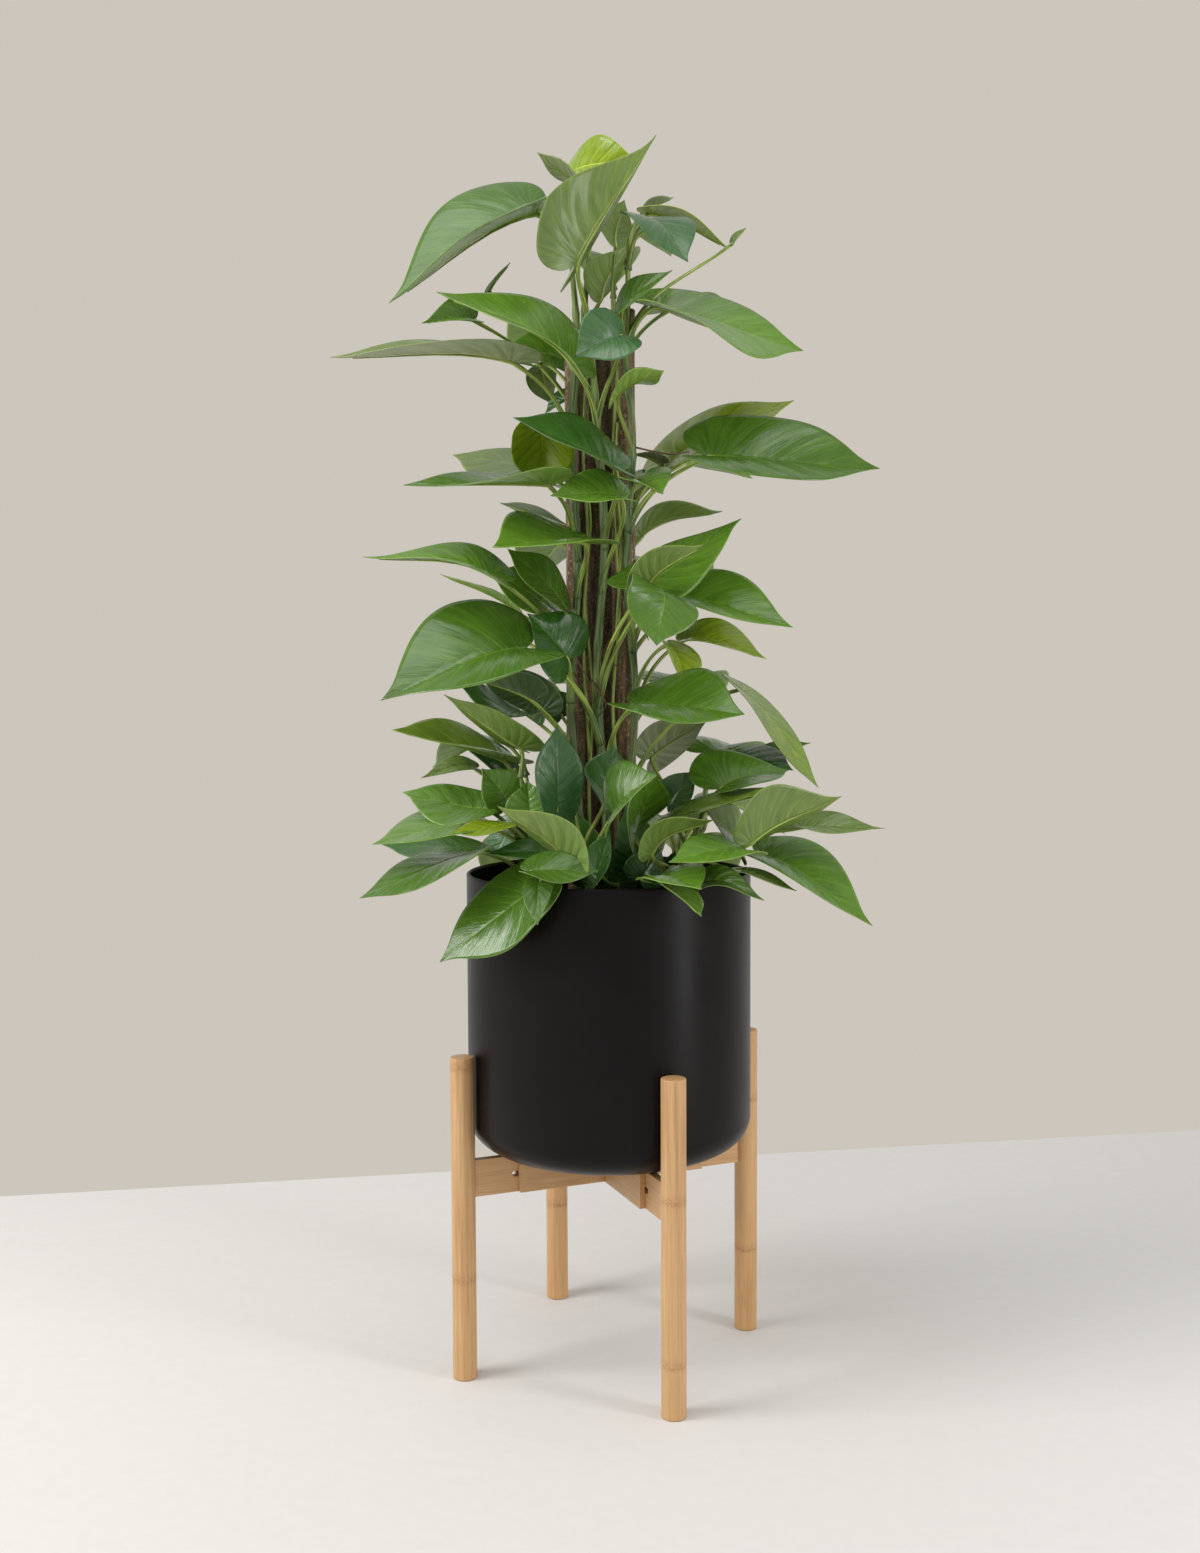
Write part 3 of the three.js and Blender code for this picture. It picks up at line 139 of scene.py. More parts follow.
# The leafy stems, in the same words as the part's source: a stem's middle line, and for each leaf its base,
# tip, width, the way its upper side faces, fold in degrees, arch as a share of its length, twist at its tip
# in degrees, taper of its tip part, and green. The leaf rows weren't written by hand: a program fitted or
# shifted many of them, and wrote them all out.
STEMS = {
  "stem_centre": {
    "radius": 4.5,
    "path": [
      [-8, -25, 428], [-2, -26, 560], [-11, -24, 720], [-3, -26, 860],
      [-11, -24, 990], [-18, -26, 1080], [-27, -34, 1120],
    ],
    "leaves": [
      [[-30, -75, 1125], [50, -60, 1255], 102, [-0.8, 0.4, 0.4], 40, 0.02, -20, 0.7, "olive"],
      [[-30, -75, 1025], [-165, -95, 1095], 112, [0.6, -0.4, 0.7], 20, 0.08, 0, -0.1, "bright"],
      [[15, -92, 1054], [-31, -117, 1028], 58, [0.2, -0.8, 0.5], 30, 0.05, -10, -0.4, "blue"],
      [[10, -90, 925], [-90, -120, 970], 100, [0.3, -0.4, 0.9], 20, 0.02, -10, 0, "dark"],
      [[15, -110, 895], [-55, -125, 895], 66, [-0.1, -0.5, 0.9], 22, 0.05, -20, 0, "bright"],
      [[-80, -100, 750], [-215, -160, 700], 132, [-0.4, -0.7, 0.6], 26, 0.06, 0, -0.2, "mid"],
      [[25, -105, 695], [130, -145, 685], 110, [0.2, -0.3, 0.9], 18, 0.03, 30, -0.4, "mid"],
      [[50, -140, 805], [45, -180, 750], 70, [0.6, -0.7, 0.4], 2, 0.13, 35, -0.4, "mid"],
      [[35, -130, 805], [90, -160, 845], 56, [-0.3, 0.1, 0.9], 28, 0.08, -35, 0.2, "olive"],
    ],
  },
  "stem_left": {
    "radius": 4.2,
    "path": [
      [-36, -26, 428], [-30, -28, 560], [-38, -26, 700], [-30, -28, 830],
      [-36, -26, 960], [-30, -26, 1060], [-34, -14, 1130], [-38, 4, 1185],
    ],
    "leaves": [
      [[-70, 25, 1205], [-220, -30, 1100], 136, [-0.2, -0.5, 0.8], 34, 0.05, 5, 0.2, "mid"],
      [[-121, 0, 1119], [-99, 5, 1149], 16, [-0.8, -0.3, 0.4], 20, 0.03, 0, 0, "mid"],
      [[-90, -55, 1035], [-275, -60, 1040], 92, [-0.1, 0, 1], 22, 0.04, -30, -0.2, "pale"],
      [[-65, -70, 975], [-65, -15, 920], 60, [0, -0.9, 0.4], 40, -0.02, 5, -0.4, "yellow"],
      [[-55, -90, 910], [-200, -90, 910], 90, [0.6, 0.1, 0.8], 14, 0.01, -50, 0.2, "mid"],
      [[-20, -65, 855], [-110, -135, 845], 98, [-0.4, -0.6, 0.7], 22, 0.04, -10, -0.4, "bright"],
      [[-110, -90, 820], [-240, -95, 840], 80, [-0.3, -0.3, 0.9], 20, 0.07, 0, 0.6, "bright"],
      [[-55, -15, 790], [-120, -30, 830], 78, [-0.1, -0.3, 0.9], 8, 0.02, -45, -0.1, "bright"],
      [[-40, -55, 740], [-80, -75, 785], 84, [0.3, -0.7, 0.5], 16, 0.05, 0, 0, "dark"],
      [[-65, -45, 685], [-105, -55, 735], 54, [0.5, 0.7, 0.3], 20, 0.05, 0, 0, "dark"],
      [[-74, -70, 697], [-126, -85, 719], 50, [0.2, 0.7, 0.6], 20, 0.05, 0, 0, "dark"],
      [[-85, 10, 685], [-155, -5, 715], 62, [0.7, 0.1, 0.7], 0, -0.06, -45, -0.3, "dark"],
      [[-45, -50, 795], [-100, -65, 850], 62, [0.5, -0.3, 0.8], 12, 0.04, -50, -0.1, "mid"],
    ],
  },
  "stem_right": {
    "radius": 4.2,
    "path": [
      [26, -24, 428], [20, -25, 560], [28, -23, 700], [20, -25, 830],
      [26, -24, 960], [20, -24, 1040], [22, -22, 1110], [22, -18, 1170],
    ],
    "leaves": [
      [[40, -40, 1180], [80, -85, 1125], 74, [0.3, -0.5, 0.8], 12, 0.10, 20, 0, "blue"],
      [[45, 30, 1205], [130, 35, 1170], 62, [0.2, -0.2, 1], 20, 0.06, 0, 0, "yellow"],
      [[132, 20, 1172], [145, 12, 1185], 14, [-0.5, -0.5, 0.5], 20, 0.05, 0, 0, "pale"],
      [[15, -40, 1090], [65, -75, 1120], 40, [-0.2, -0.7, 0.7], 24, 0.06, 20, 0.2, "mid"],
      [[45, -35, 1095], [205, 15, 1060], 136, [0.1, -0.3, 0.9], 8, 0.02, 40, -0.2, "bright"],
      [[10, -61, 1000], [56, -87, 1020], 50, [-0.2, -0.5, 0.9], 8, 0.07, -75, -0.4, "mid"],
      [[30, -30, 920], [55, -90, 900], 62, [-0.1, -0.3, 1], 30, 0.03, -5, 0.2, "bright"],
      [[100, -35, 945], [275, -45, 930], 114, [0, -0.5, 0.8], 24, 0.01, 25, -0.2, "mid"],
      [[65, 30, 945], [200, 50, 1015], 112, [-0.4, -0.3, 0.9], 10, 0.05, 30, 0, "yellow"],
      [[135, -25, 710], [220, -5, 605], 54, [1, -0.1, 0.2], 2, 0.04, 45, -0.2, "olive"],
      [[60, -30, 755], [80, -65, 705], 52, [0.7, -0.6, 0.5], 26, 0.09, -5, -0.3, "yellow"],
      [[60, -25, 805], [185, -70, 770], 88, [0.1, -0.4, 0.9], 26, 0.04, 25, -0.1, "bright"],
      [[80, 25, 760], [165, -5, 740], 68, [-0.3, -0.3, 0.9], 22, 0.10, -10, -0.3, "yellow"],
      [[30, -80, 810], [135, -50, 880], 100, [-0.6, -0.6, 0.5], 0, -0.03, -5, 0.1, "bright"],
    ],
  },
  "stem_back_left": {
    "radius": 4.0,
    "path": [
      [-28, 24, 428], [-30, 22, 700], [-26, 22, 950], [-24, 22, 1080],
      [-18, 28, 1160], [-16, 30, 1205],
    ],
    "leaves": [
      [[-35, 50, 1255], [35, 30, 1260], 68, [0.1, -0.7, 0.7], 18, 0.05, 65, -0.3, "yellow"],
      [[-22, 9, 1224], [-70, -5, 1257], 38, [0.6, -0.1, 0.8], 0, -0.00, 45, -0.1, "pale"],
      [[-5, 20, 1115], [25, 30, 1175], 50, [-0.7, 0.4, 0.6], 38, 0.08, -50, 0.1, "olive"],
      [[-136, -13, 1087], [-187, -30, 1080], 44, [0.4, -0.6, 0.7], 38, 0.07, -5, 0.5, "bright"],
      [[-40, 45, 1055], [-115, 45, 1070], 84, [0, -0.6, 0.8], 20, 0.06, 0, 0, "bright"],
      [[-67, 53, 1057], [-60, 92, 1019], 40, [-0.5, 0.8, 0.2], 2, 0.14, 0, -0.2, "olive"],
      [[-39, 40, 1019], [-65, 45, 1002], 34, [0, -0.5, 0.8], 20, 0.05, 0, 0, "dark"],
      [[-65, 5, 940], [-165, 55, 960], 90, [-0.6, 0, 0.8], 0, -0.00, -15, -0.2, "pale"],
      [[-40, 25, 880], [-115, 65, 910], 48, [0.2, 0.1, 1], 6, 0.02, 20, 0, "dark"],
      [[-100, 15, 795], [-175, 10, 830], 42, [0.3, 0, 1], 16, 0.04, 0, 0, "mid"],
      [[-49, 32, 681], [-67, 34, 710], 40, [0.3, -0.8, 0.3], 16, 0.05, 0, 0, "dark"],
      [[-50, 55, 1095], [-110, 140, 1080], 76, [-0.2, 0.4, 0.9], 20, 0.08, 0, 0, "mid"],
      [[-45, 60, 975], [-90, 170, 940], 90, [-0.2, 0.5, 0.85], 20, 0.08, 0, 0, "dark"],
      [[-45, 65, 865], [-85, 180, 830], 86, [-0.2, 0.5, 0.85], 20, 0.08, 0, 0, "mid"],
      [[-95, 60, 765], [-185, 145, 735], 92, [-0.4, 0.4, 0.85], 20, 0.08, 0, 0, "mid"],
      [[-60, 80, 715], [-110, 195, 680], 94, [-0.3, 0.5, 0.85], 20, 0.08, 0, 0, "dark"],
    ],
  },
  "stem_back_right": {
    "radius": 4.0,
    "path": [
      [14, 24, 428], [16, 22, 700], [12, 22, 950], [14, 34, 1040],
      [8, 66, 1125], [14, 74, 1185],
    ],
    "leaves": [
      [[10, 40, 1175], [20, 65, 1230], 50, [-0.4, 0.7, 0.6], 6, 0.07, -15, -0.4, "olive"],
      [[40, 75, 1218], [74, 90, 1240], 30, [-0.2, 0.2, 1], 20, 0.05, 0, 0, "pale"],
      [[35, 55, 870], [125, 65, 900], 80, [-0.6, 0.2, 0.8], 18, 0.11, 5, 0.3, "olive"],
      [[58, 20, 946], [27, 10, 954], 30, [0, 0.1, 1], 14, 0.05, 0, 0, "pale"],
      [[0, 95, 1180], [5, 195, 1165], 76, [0, 0.5, 0.85], 20, 0.08, 0, 0, "mid"],
      [[0, 65, 1080], [-5, 185, 1060], 76, [0, 0.5, 0.85], 20, 0.08, 0, 0, "mid"],
      [[65, 50, 1110], [140, 145, 1105], 72, [0.2, 0.4, 0.9], 20, 0.08, 0, 0, "bright"],
      [[80, 60, 950], [165, 145, 945], 92, [0.3, 0.5, 0.85], 20, 0.08, 0, 0, "mid"],
      [[5, 70, 935], [15, 195, 905], 86, [0, 0.5, 0.85], 20, 0.08, 0, 0, "mid"],
      [[60, 105, 845], [115, 205, 820], 86, [0.3, 0.5, 0.85], 20, 0.08, 0, 0, "bright"],
      [[85, 60, 800], [150, 135, 790], 80, [0.4, 0.4, 0.85], 20, 0.08, 0, 0, "olive"],
      [[10, 75, 800], [20, 205, 770], 84, [0, 0.5, 0.85], 20, 0.08, 0, 0, "mid"],
      [[70, 70, 715], [130, 175, 690], 92, [0.3, 0.5, 0.85], 20, 0.08, 0, 0, "mid"],
      [[45, 85, 1205], [75, 175, 1200], 60, [0.1, 0.5, 0.85], 20, 0.08, 0, 0, "mid"],
    ],
  },
  "stem_low_front": {
    "radius": 3.5,
    "path": [
      [-16, -62, 428], [-20, -74, 510], [-30, -84, 570], [-36, -88, 600],
    ],
    "leaves": [
      [[-5, -100, 595], [5, -105, 655], 64, [-0.6, -0.2, 0.8], 2, 0.01, 70, -0.3, "dark"],
      [[5, -140, 590], [45, -180, 630], 74, [-0.4, -0.7, 0.7], 28, 0.08, -10, -0.3, "mid"],
      [[10, -34, 507], [12, -29, 551], 44, [0, -0.8, 0.5], 16, 0.05, 0, 0, "dark"],
      [[-20, -45, 520], [-35, -50, 590], 48, [-0.2, -0.9, 0.4], 12, 0.05, 10, 0, "dark"],
      [[-14, -118, 518], [2, -116, 572], 50, [-0.9, -0.3, 0.3], 24, 0.01, 35, 0, "dark"],
    ],
  },
  "stem_low_left_front": {
    "radius": 3.5,
    "path": [
      [-52, -56, 428], [-70, -70, 520], [-84, -74, 590], [-88, -76, 628],
    ],
    "leaves": [
      [[-85, -80, 650], [-160, -115, 705], 60, [0.5, 0.5, 0.7], 22, -0.01, 15, 0.5, "olive"],
      [[-115, -60, 570], [-230, -125, 560], 106, [-0.3, -0.3, 0.9], 6, 0.08, -5, -0.3, "bright"],
      [[-98, -118, 579], [-152, -135, 572], 38, [0.2, 0, 1], 0, -0.00, -35, 0.1, "yellow"],
      [[-130, -95, 550], [-240, -145, 510], 88, [-0.4, 0, 0.9], 2, 0.02, -45, 0.1, "mid"],
      [[-50, -120, 590], [-50, -110, 675], 56, [0.7, -0.5, 0.5], 10, 0.02, -40, -0.3, "blue"],
      [[-77, -105, 586], [-80, -100, 620], 46, [0, -0.9, 0.4], 14, 0.05, 0, 0, "bright"],
      [[-35, -165, 540], [-105, -165, 600], 70, [0.2, 0.4, 0.9], 24, 0.07, 25, 0.3, "olive"],
      [[-45, -110, 545], [-120, -120, 550], 36, [0, -0.6, 0.8], 20, 0.08, 0, 0, "dark"],
      [[-75, -180, 540], [-10, -180, 540], 50, [0.2, -0.2, 0.9], 18, 0.02, 55, 0.1, "mid"],
      [[-65, -140, 525], [-165, -130, 445], 88, [-0.4, -0.6, 0.8], 0, -0.01, -20, -0.2, "mid"],
      [[-65, -162, 529], [-67, -203, 492], 30, [-0.2, -0.8, 0.5], 12, 0.10, 20, -0.2, "mid"],
      [[-60, -50, 540], [-80, -55, 605], 48, [0.2, -0.9, 0.4], 12, 0.05, 10, 0, "dark"],
    ],
  },
  "stem_low_left": {
    "radius": 3.5,
    "path": [
      [-74, -12, 428], [-88, -14, 520], [-95, -12, 590], [-97, -10, 630],
    ],
    "leaves": [
      [[-105, -20, 635], [-215, -85, 670], 78, [0, -0.2, 1], 26, 0.02, -25, -0.3, "olive"],
      [[-105, 10, 620], [-165, 5, 660], 48, [0.4, -0.5, 0.8], 20, 0.05, 0, 0, "dark"],
      [[-145, 50, 625], [-200, 30, 615], 28, [-0.3, -0.6, 0.8], 24, 0.09, -10, 0.2, "pale"],
      [[-102, -55, 597], [-128, -60, 630], 48, [0.2, -0.9, 0.3], 14, 0.05, 0, 0, "bright"],
      [[-120, -65, 590], [-210, -45, 605], 82, [0.2, -0.3, 0.9], 0, -0.04, -20, -0.2, "bright"],
      [[-130, -10, 540], [-240, 15, 545], 66, [0.2, 0, 1], 2, 0.03, -45, -0.2, "dark"],
      [[-94, 20, 562], [-136, 40, 535], 40, [-0.2, -0.8, 0.5], 14, 0.05, 0, 0, "blue"],
      [[-70, -50, 551], [-90, -45, 584], 44, [0, -0.8, 0.5], 16, 0.05, 0, 0, "dark"],
    ],
  },
  "stem_low_right_front": {
    "radius": 3.5,
    "path": [
      [44, -60, 428], [66, -78, 510], [86, -88, 555], [96, -92, 572],
    ],
    "leaves": [
      [[25, -110, 565], [45, -130, 630], 70, [0.4, -0.3, 0.9], 10, 0.00, -60, -0.3, "mid"],
      [[40, -145, 550], [100, -150, 585], 60, [0, 0.3, 1], 22, 0.13, -10, -0.1, "olive"],
      [[60, -100, 580], [170, -145, 615], 64, [-0.5, 0, 0.9], 12, 0.02, 5, -0.2, "olive"],
      [[135, -140, 560], [225, -130, 605], 100, [-0.5, 0.4, 0.8], 26, 0.05, -35, 0.4, "olive"],
      [[155, -55, 540], [260, -105, 475], 90, [0, -0.2, 1], 24, 0.06, 10, 0.1, "bright"],
      [[130, -160, 555], [55, -200, 550], 64, [-0.5, -0.4, 0.8], 14, 0.07, -20, -0.1, "bright"],
      [[50, -145, 530], [85, -205, 525], 62, [-0.2, -0.1, 1], 16, 0.05, -10, -0.2, "bright"],
      [[50, -150, 525], [85, -205, 500], 46, [0.5, -0.3, 0.8], 14, 0.05, -5, -0.4, "bright"],
      [[85, -135, 520], [150, -135, 505], 40, [0.1, -0.4, 0.9], 24, 0.16, 0, 0, "mid"],
      [[125, -100, 530], [185, -105, 510], 30, [0.6, -0.1, 0.8], 6, 0.06, 20, 0, "pale"],
      [[32, -60, 516], [54, -58, 548], 44, [0, -0.8, 0.5], 16, 0.05, 0, 0, "dark"],
      [[70, -30, 514], [88, -42, 556], 42, [0.2, -0.9, 0.4], 14, 0.05, 10, 0, "dark"],
      [[30, -40, 530], [20, -45, 595], 46, [0.1, -0.9, 0.4], 12, 0.05, 10, 0, "dark"],
    ],
  },
  "stem_low_right": {
    "radius": 3.5,
    "path": [
      [72, -8, 428], [86, -14, 520], [98, -18, 590], [104, -16, 625],
    ],
    "leaves": [
      [[110, -90, 610], [185, -35, 625], 92, [-0.4, -0.5, 0.8], 26, 0.06, 20, 0.2, "mid"],
      [[125, 15, 635], [190, -35, 625], 58, [0.3, -0.4, 0.9], 18, 0.03, 15, -0.4, "dark"],
      [[190, -75, 570], [275, -90, 570], 50, [0.3, -0.2, 0.9], 20, 0.02, 50, 0.8, "pale"],
      [[45, 20, 635], [105, 20, 675], 62, [-0.3, 0.7, 0.5], 16, 0.05, 0, 0, "pale"],
      [[166, 15, 637], [215, 20, 651], 28, [0, -0.4, 0.9], 20, 0.05, 0, 0, "mid"],
      [[60, -60, 593], [89, -60, 627], 38, [0, -0.8, 0.5], 16, 0.05, 0, 0, "dark"],
      [[130, -65, 550], [95, -100, 590], 62, [0.4, -0.6, 0.7], 22, 0.07, -5, -0.3, "olive"],
    ],
  },
  "stem_low_back_left": {
    "radius": 3.5,
    "path": [
      [-56, 52, 428], [-76, 62, 530], [-90, 66, 620], [-96, 66, 645],
    ],
    "leaves": [
      [[-110, 70, 650], [-200, 145, 620], 88, [-0.5, 0.4, 0.8], 20, 0.08, 0, 0, "mid"],
      [[-120, 90, 580], [-195, 165, 530], 88, [-0.5, 0.5, 0.75], 20, 0.08, 0, 0, "bright"],
      [[-60, 120, 570], [-90, 205, 510], 88, [-0.3, 0.6, 0.75], 20, 0.08, 0, 0, "mid"],
      [[-95, 120, 540], [-130, 200, 460], 84, [-0.4, 0.7, 0.6], 20, 0.08, 0, 0, "mid"],
    ],
  },
  "stem_low_back_right": {
    "radius": 3.5,
    "path": [
      [56, 52, 428], [76, 60, 530], [92, 62, 610], [98, 60, 635],
    ],
    "leaves": [
      [[110, 60, 640], [190, 140, 620], 84, [0.5, 0.4, 0.8], 20, 0.08, 0, 0, "mid"],
      [[125, 90, 580], [205, 165, 540], 84, [0.5, 0.5, 0.75], 20, 0.08, 0, 0, "mid"],
      [[60, 120, 565], [90, 205, 505], 88, [0.3, 0.6, 0.75], 20, 0.08, 0, 0, "mid"],
      [[100, 120, 540], [135, 195, 465], 82, [0.4, 0.7, 0.6], 20, 0.08, 0, 0, "bright"],
    ],
  },
  "stem_low_back": {
    "radius": 3.5,
    "path": [
      [0, 66, 428], [-2, 78, 530], [0, 84, 600], [-4, 84, 645],
    ],
    "leaves": [
      [[-10, 85, 650], [-25, 205, 605], 94, [0, 0.5, 0.85], 20, 0.08, 0, 0, "mid"],
      [[0, 120, 590], [0, 205, 540], 84, [0, 0.6, 0.75], 20, 0.08, 0, 0, "bright"],
      [[25, 95, 550], [40, 185, 480], 70, [0.1, 0.8, 0.5], 18, 0.08, 0, 0, "dark"],
    ],
  },
}

# Thin brown roots that hang free between the vines, and young shoots that climb between them
FREE_ROOTS = (
    ((28, -22, 956), (46, -34, 950), (66, -40, 946), (84, -36, 949)),
    ((-18, -22, 721), (-10, -34, 708), (-2, -40, 693), (-11, -36, 680)),
    ((30, -24, 782), (48, -50, 790), (64, -62, 791), (82, -58, 781)),
    ((-37, -28, 760), (-30, -36, 737), (-20, -34, 718), (-16, -30, 694)),
    ((2, -26, 759), (-4, -36, 744), (10, -38, 731), (18, -34, 708)),
    ((28, -24, 841), (22, -30, 816), (33, -30, 788), (42, -24, 759)),
)
SHOOTS = (
    ((-15, -22, 480), (-20, -24, 600), (-15, -23, 700), (-23, -24, 800), (-17, -24, 880), (-23, -27, 925)),
    ((7, -22, 480), (11, -24, 590), (5, -23, 690), (12, -24, 790), (7, -24, 900), (11, -27, 980)),
    ((-19, -24, 640), (-25, -25, 760), (-20, -25, 860), (-24, -25, 950), (-20, -25, 1040), (-14, -22, 1090)),
    ((9, -24, 760), (14, -24, 860), (7, -23, 960), (12, -22, 1050), (6, -20, 1110), (8, -20, 1150)),
)
SHOOT_RADIUS = 2.1
ROOT_RADIUS = 1.1

# The heights between which a climbing stem holds on to its stake by roots
ROOTS_FROM = 520
ROOTS_TO = 1040

# Where each kind of piece starts its random draws
SOIL_SEED = 7
STAKE_SEED = 40
LEAF_SEED = 100

# The two sides of each green, as screen colours
UPPER = {
    "mid": (71, 110, 28), "dark": (48, 92, 28), "bright": (90, 134, 38), "pale": (102, 128, 60),
    "yellow": (134, 162, 26), "olive": (104, 132, 44), "blue": (64, 106, 60),
}
UNDER = {
    "mid": (120, 154, 66), "dark": (78, 102, 62), "bright": (122, 150, 66), "pale": (136, 150, 108),
    "yellow": (136, 158, 66), "olive": (104, 130, 58), "blue": (92, 122, 86),
}

# Screen colours of the stalks, and how light each stake's bark is
PETIOLE_GREEN = (144, 166, 78)
VINE_GREEN = (96, 118, 70)
ROOT_BROWN = (96, 68, 50)
BARK_LIGHT = (1.6, 1.3, 1.9)

# Screen colours of the wall behind and of the light that comes from all round, and the floor's corners
WALL = (204, 198, 188)
AMBIENT = (200, 199, 195)
FLOOR = ((-9000, -9000), (9000, -9000), (9000, 2160), (-9000, -847))
FLOOR_TOP = -0.2
FLOOR_BOTTOM = -6

# Vines: how far apart their nodes are, how much and how far each swells, and how long the young top is
NODE_SPACING = 64.0
NODE_SWELL = 0.24
NODE_LENGTH = 4.5
YOUNG_TOP = 150

# The camera in metres and degrees, and the lights: name, place, target, size, power and tone
CAMERA_PLACE = (-0.0065, -1.6355, 0.7166)
CAMERA_PITCH = -3.47
CAMERA_YAW = 0.07
CAMERA_ROLL = 0.26
LENS = 36.19
SENSOR = 36
WHITE = (1, 1, 1)
LIGHTS = (
    ("key", (-2.1, -0.75, 1.6), (0, 0, 0.6), (1.1, 1.3), 38, (1, 0.99, 0.97)),
    ("strip", (1.48, -0.89, 0.85), (0, 0, 0.5), (0.34, 1.7), 11, WHITE),
    ("top", (-0.5, -0.7, 2.9), (0, 0, 0.6), (1.4, 1.4), 15, WHITE),
)


def linear(colour):
    """A screen colour as the light values that a shader takes."""
    out = []
    for value in colour:
        share = value / 255
        out.append(share / 12.92 if share <= 0.04045 else ((share + 0.055) / 1.055) ** 2.4)
    return np.array(out)


# Meshes

class Shell:
    """Gathers the points and faces of one piece, with a value or a vector for each point."""

    def __init__(self):
        self.points = []
        self.faces = []
        self.slots = []
        self.values = {}
        self.count = 0

    def add(self, points, faces, slot=0, **values):
        """Adds a form of one material slot. Each value has a row for every point."""
        points = np.asarray(points, float)
        for face in faces:
            self.faces.append([corner + self.count for corner in face])
            self.slots.append(slot)
        for name, given in values.items():
            self.values.setdefault(name, []).append((self.count, np.asarray(given, float)))
        self.points.append(points)
        self.count += len(points)

    def build(self, name, materials, smooth=True):
        """Makes the piece's object, with its values as attributes of the mesh."""
        mesh = bpy.data.meshes.new(name)
        points = np.concatenate(self.points) * MM
        mesh.from_pydata(points.tolist(), [], self.faces)
        for value_name, chunks in self.values.items():
            wide = 1 if chunks[0][1].ndim == 1 else chunks[0][1].shape[1]
            full = np.zeros((self.count, wide))
            for start, given in chunks:
                full[start:start + len(given)] = given.reshape(len(given), wide)
            if wide == 1:
                made = mesh.attributes.new(value_name, "FLOAT", "POINT")
                made.data.foreach_set("value", full.ravel().astype(np.float32))
            else:
                made = mesh.attributes.new(value_name, "FLOAT_VECTOR", "POINT")
                made.data.foreach_set("vector", full.ravel().astype(np.float32))
        for material in materials:
            mesh.materials.append(material)
        mesh.polygons.foreach_set("material_index", self.slots)
        mesh.polygons.foreach_set("use_smooth", [smooth] * len(self.faces))
        mesh.validate()
        return in_scene(name, mesh)


def in_scene(name, data):
    """A new object that holds this data, in the scene."""
    made = bpy.data.objects.new(name, data)
    bpy.context.scene.collection.objects.link(made)
    return made


def unit(vector):
    """The same direction, one long."""
    return vector / np.linalg.norm(vector)


def turns_round(sides):
    """Even turns round a circle, one for each side."""
    return np.arange(sides) / sides * 2 * math.pi


def lengths_along(line):
    """How far each point of a line is from its start, along it."""
    return np.concatenate([[0], np.cumsum(np.linalg.norm(np.diff(line, axis=0), axis=1))])


def ring_faces(rings, sides):
    """The faces that join rings of points, with a fan to the one point after them at each end."""
    faces = []
    for ring in range(rings - 1):
        for side in range(sides):
            a = ring * sides + side
            b = ring * sides + (side + 1) % sides
            faces.append((a, b, b + sides, a + sides))
    start = rings * sides
    last = (rings - 1) * sides
    for side in range(sides):
        after = (side + 1) % sides
        faces.append((start, after, side))
        faces.append((start + 1, last + side, last + after))
    return faces


def spline(points, steps):
    """A smooth line through the points, with this many steps between each two."""
    points = [np.array(point, float) for point in points]
    first = 2 * points[0] - points[1]
    last = 2 * points[-1] - points[-2]
    line = [first] + points + [last]
    out = []
    for i in range(1, len(line) - 2):
        before, start, end, after = line[i - 1:i + 3]
        for step in range(steps):
            t = step / steps
            leave = 0.5 * (end - before)
            arrive = 0.5 * (after - start)
            out.append(
                (2 * t ** 3 - 3 * t ** 2 + 1) * start + (t ** 3 - 2 * t ** 2 + t) * leave
                + (3 * t ** 2 - 2 * t ** 3) * end + (t ** 3 - t ** 2) * arrive
            )
    out.append(points[-1])
    return np.array(out)


def tube(points, radii, sides, flute=0.0):
    """Points and faces of a closed round bar along a line. flute is how deep its ridges are cut."""
    points = np.asarray(points, float)
    radii = np.broadcast_to(np.asarray(radii, float), (len(points),))
    along = np.gradient(points, axis=0)
    along /= np.linalg.norm(along, axis=1)[:, None]
    right = unit(np.cross(along[0], (0.31, 0.87, 0.05)))
    turns = turns_round(sides)
    ridge = 1 + flute * np.cos(turns * 6)
    rings = []
    for place, way, radius in zip(points, along, radii):
        right = unit(right - way * (right @ way))
        up = np.cross(way, right)
        ring = np.outer(np.cos(turns) * ridge, right) + np.outer(np.sin(turns) * ridge, up)
        rings.append(place + radius * ring)
    rings.append([points[0], points[-1]])
    return np.concatenate(rings), ring_faces(len(points), sides)


def lathe(profile, sides):
    """Points and faces of a turned form. The profile's first and last points are on the axis."""
    turns = turns_round(sides)
    middle = profile[1:-1]
    rings = [np.stack([r * np.cos(turns), r * np.sin(turns), 0 * turns + z], 1) for r, z in middle]
    ends = np.array([[0, 0, profile[0][1]], [0, 0, profile[-1][1]]])
    return np.concatenate(rings + [ends]), ring_faces(len(middle), sides)


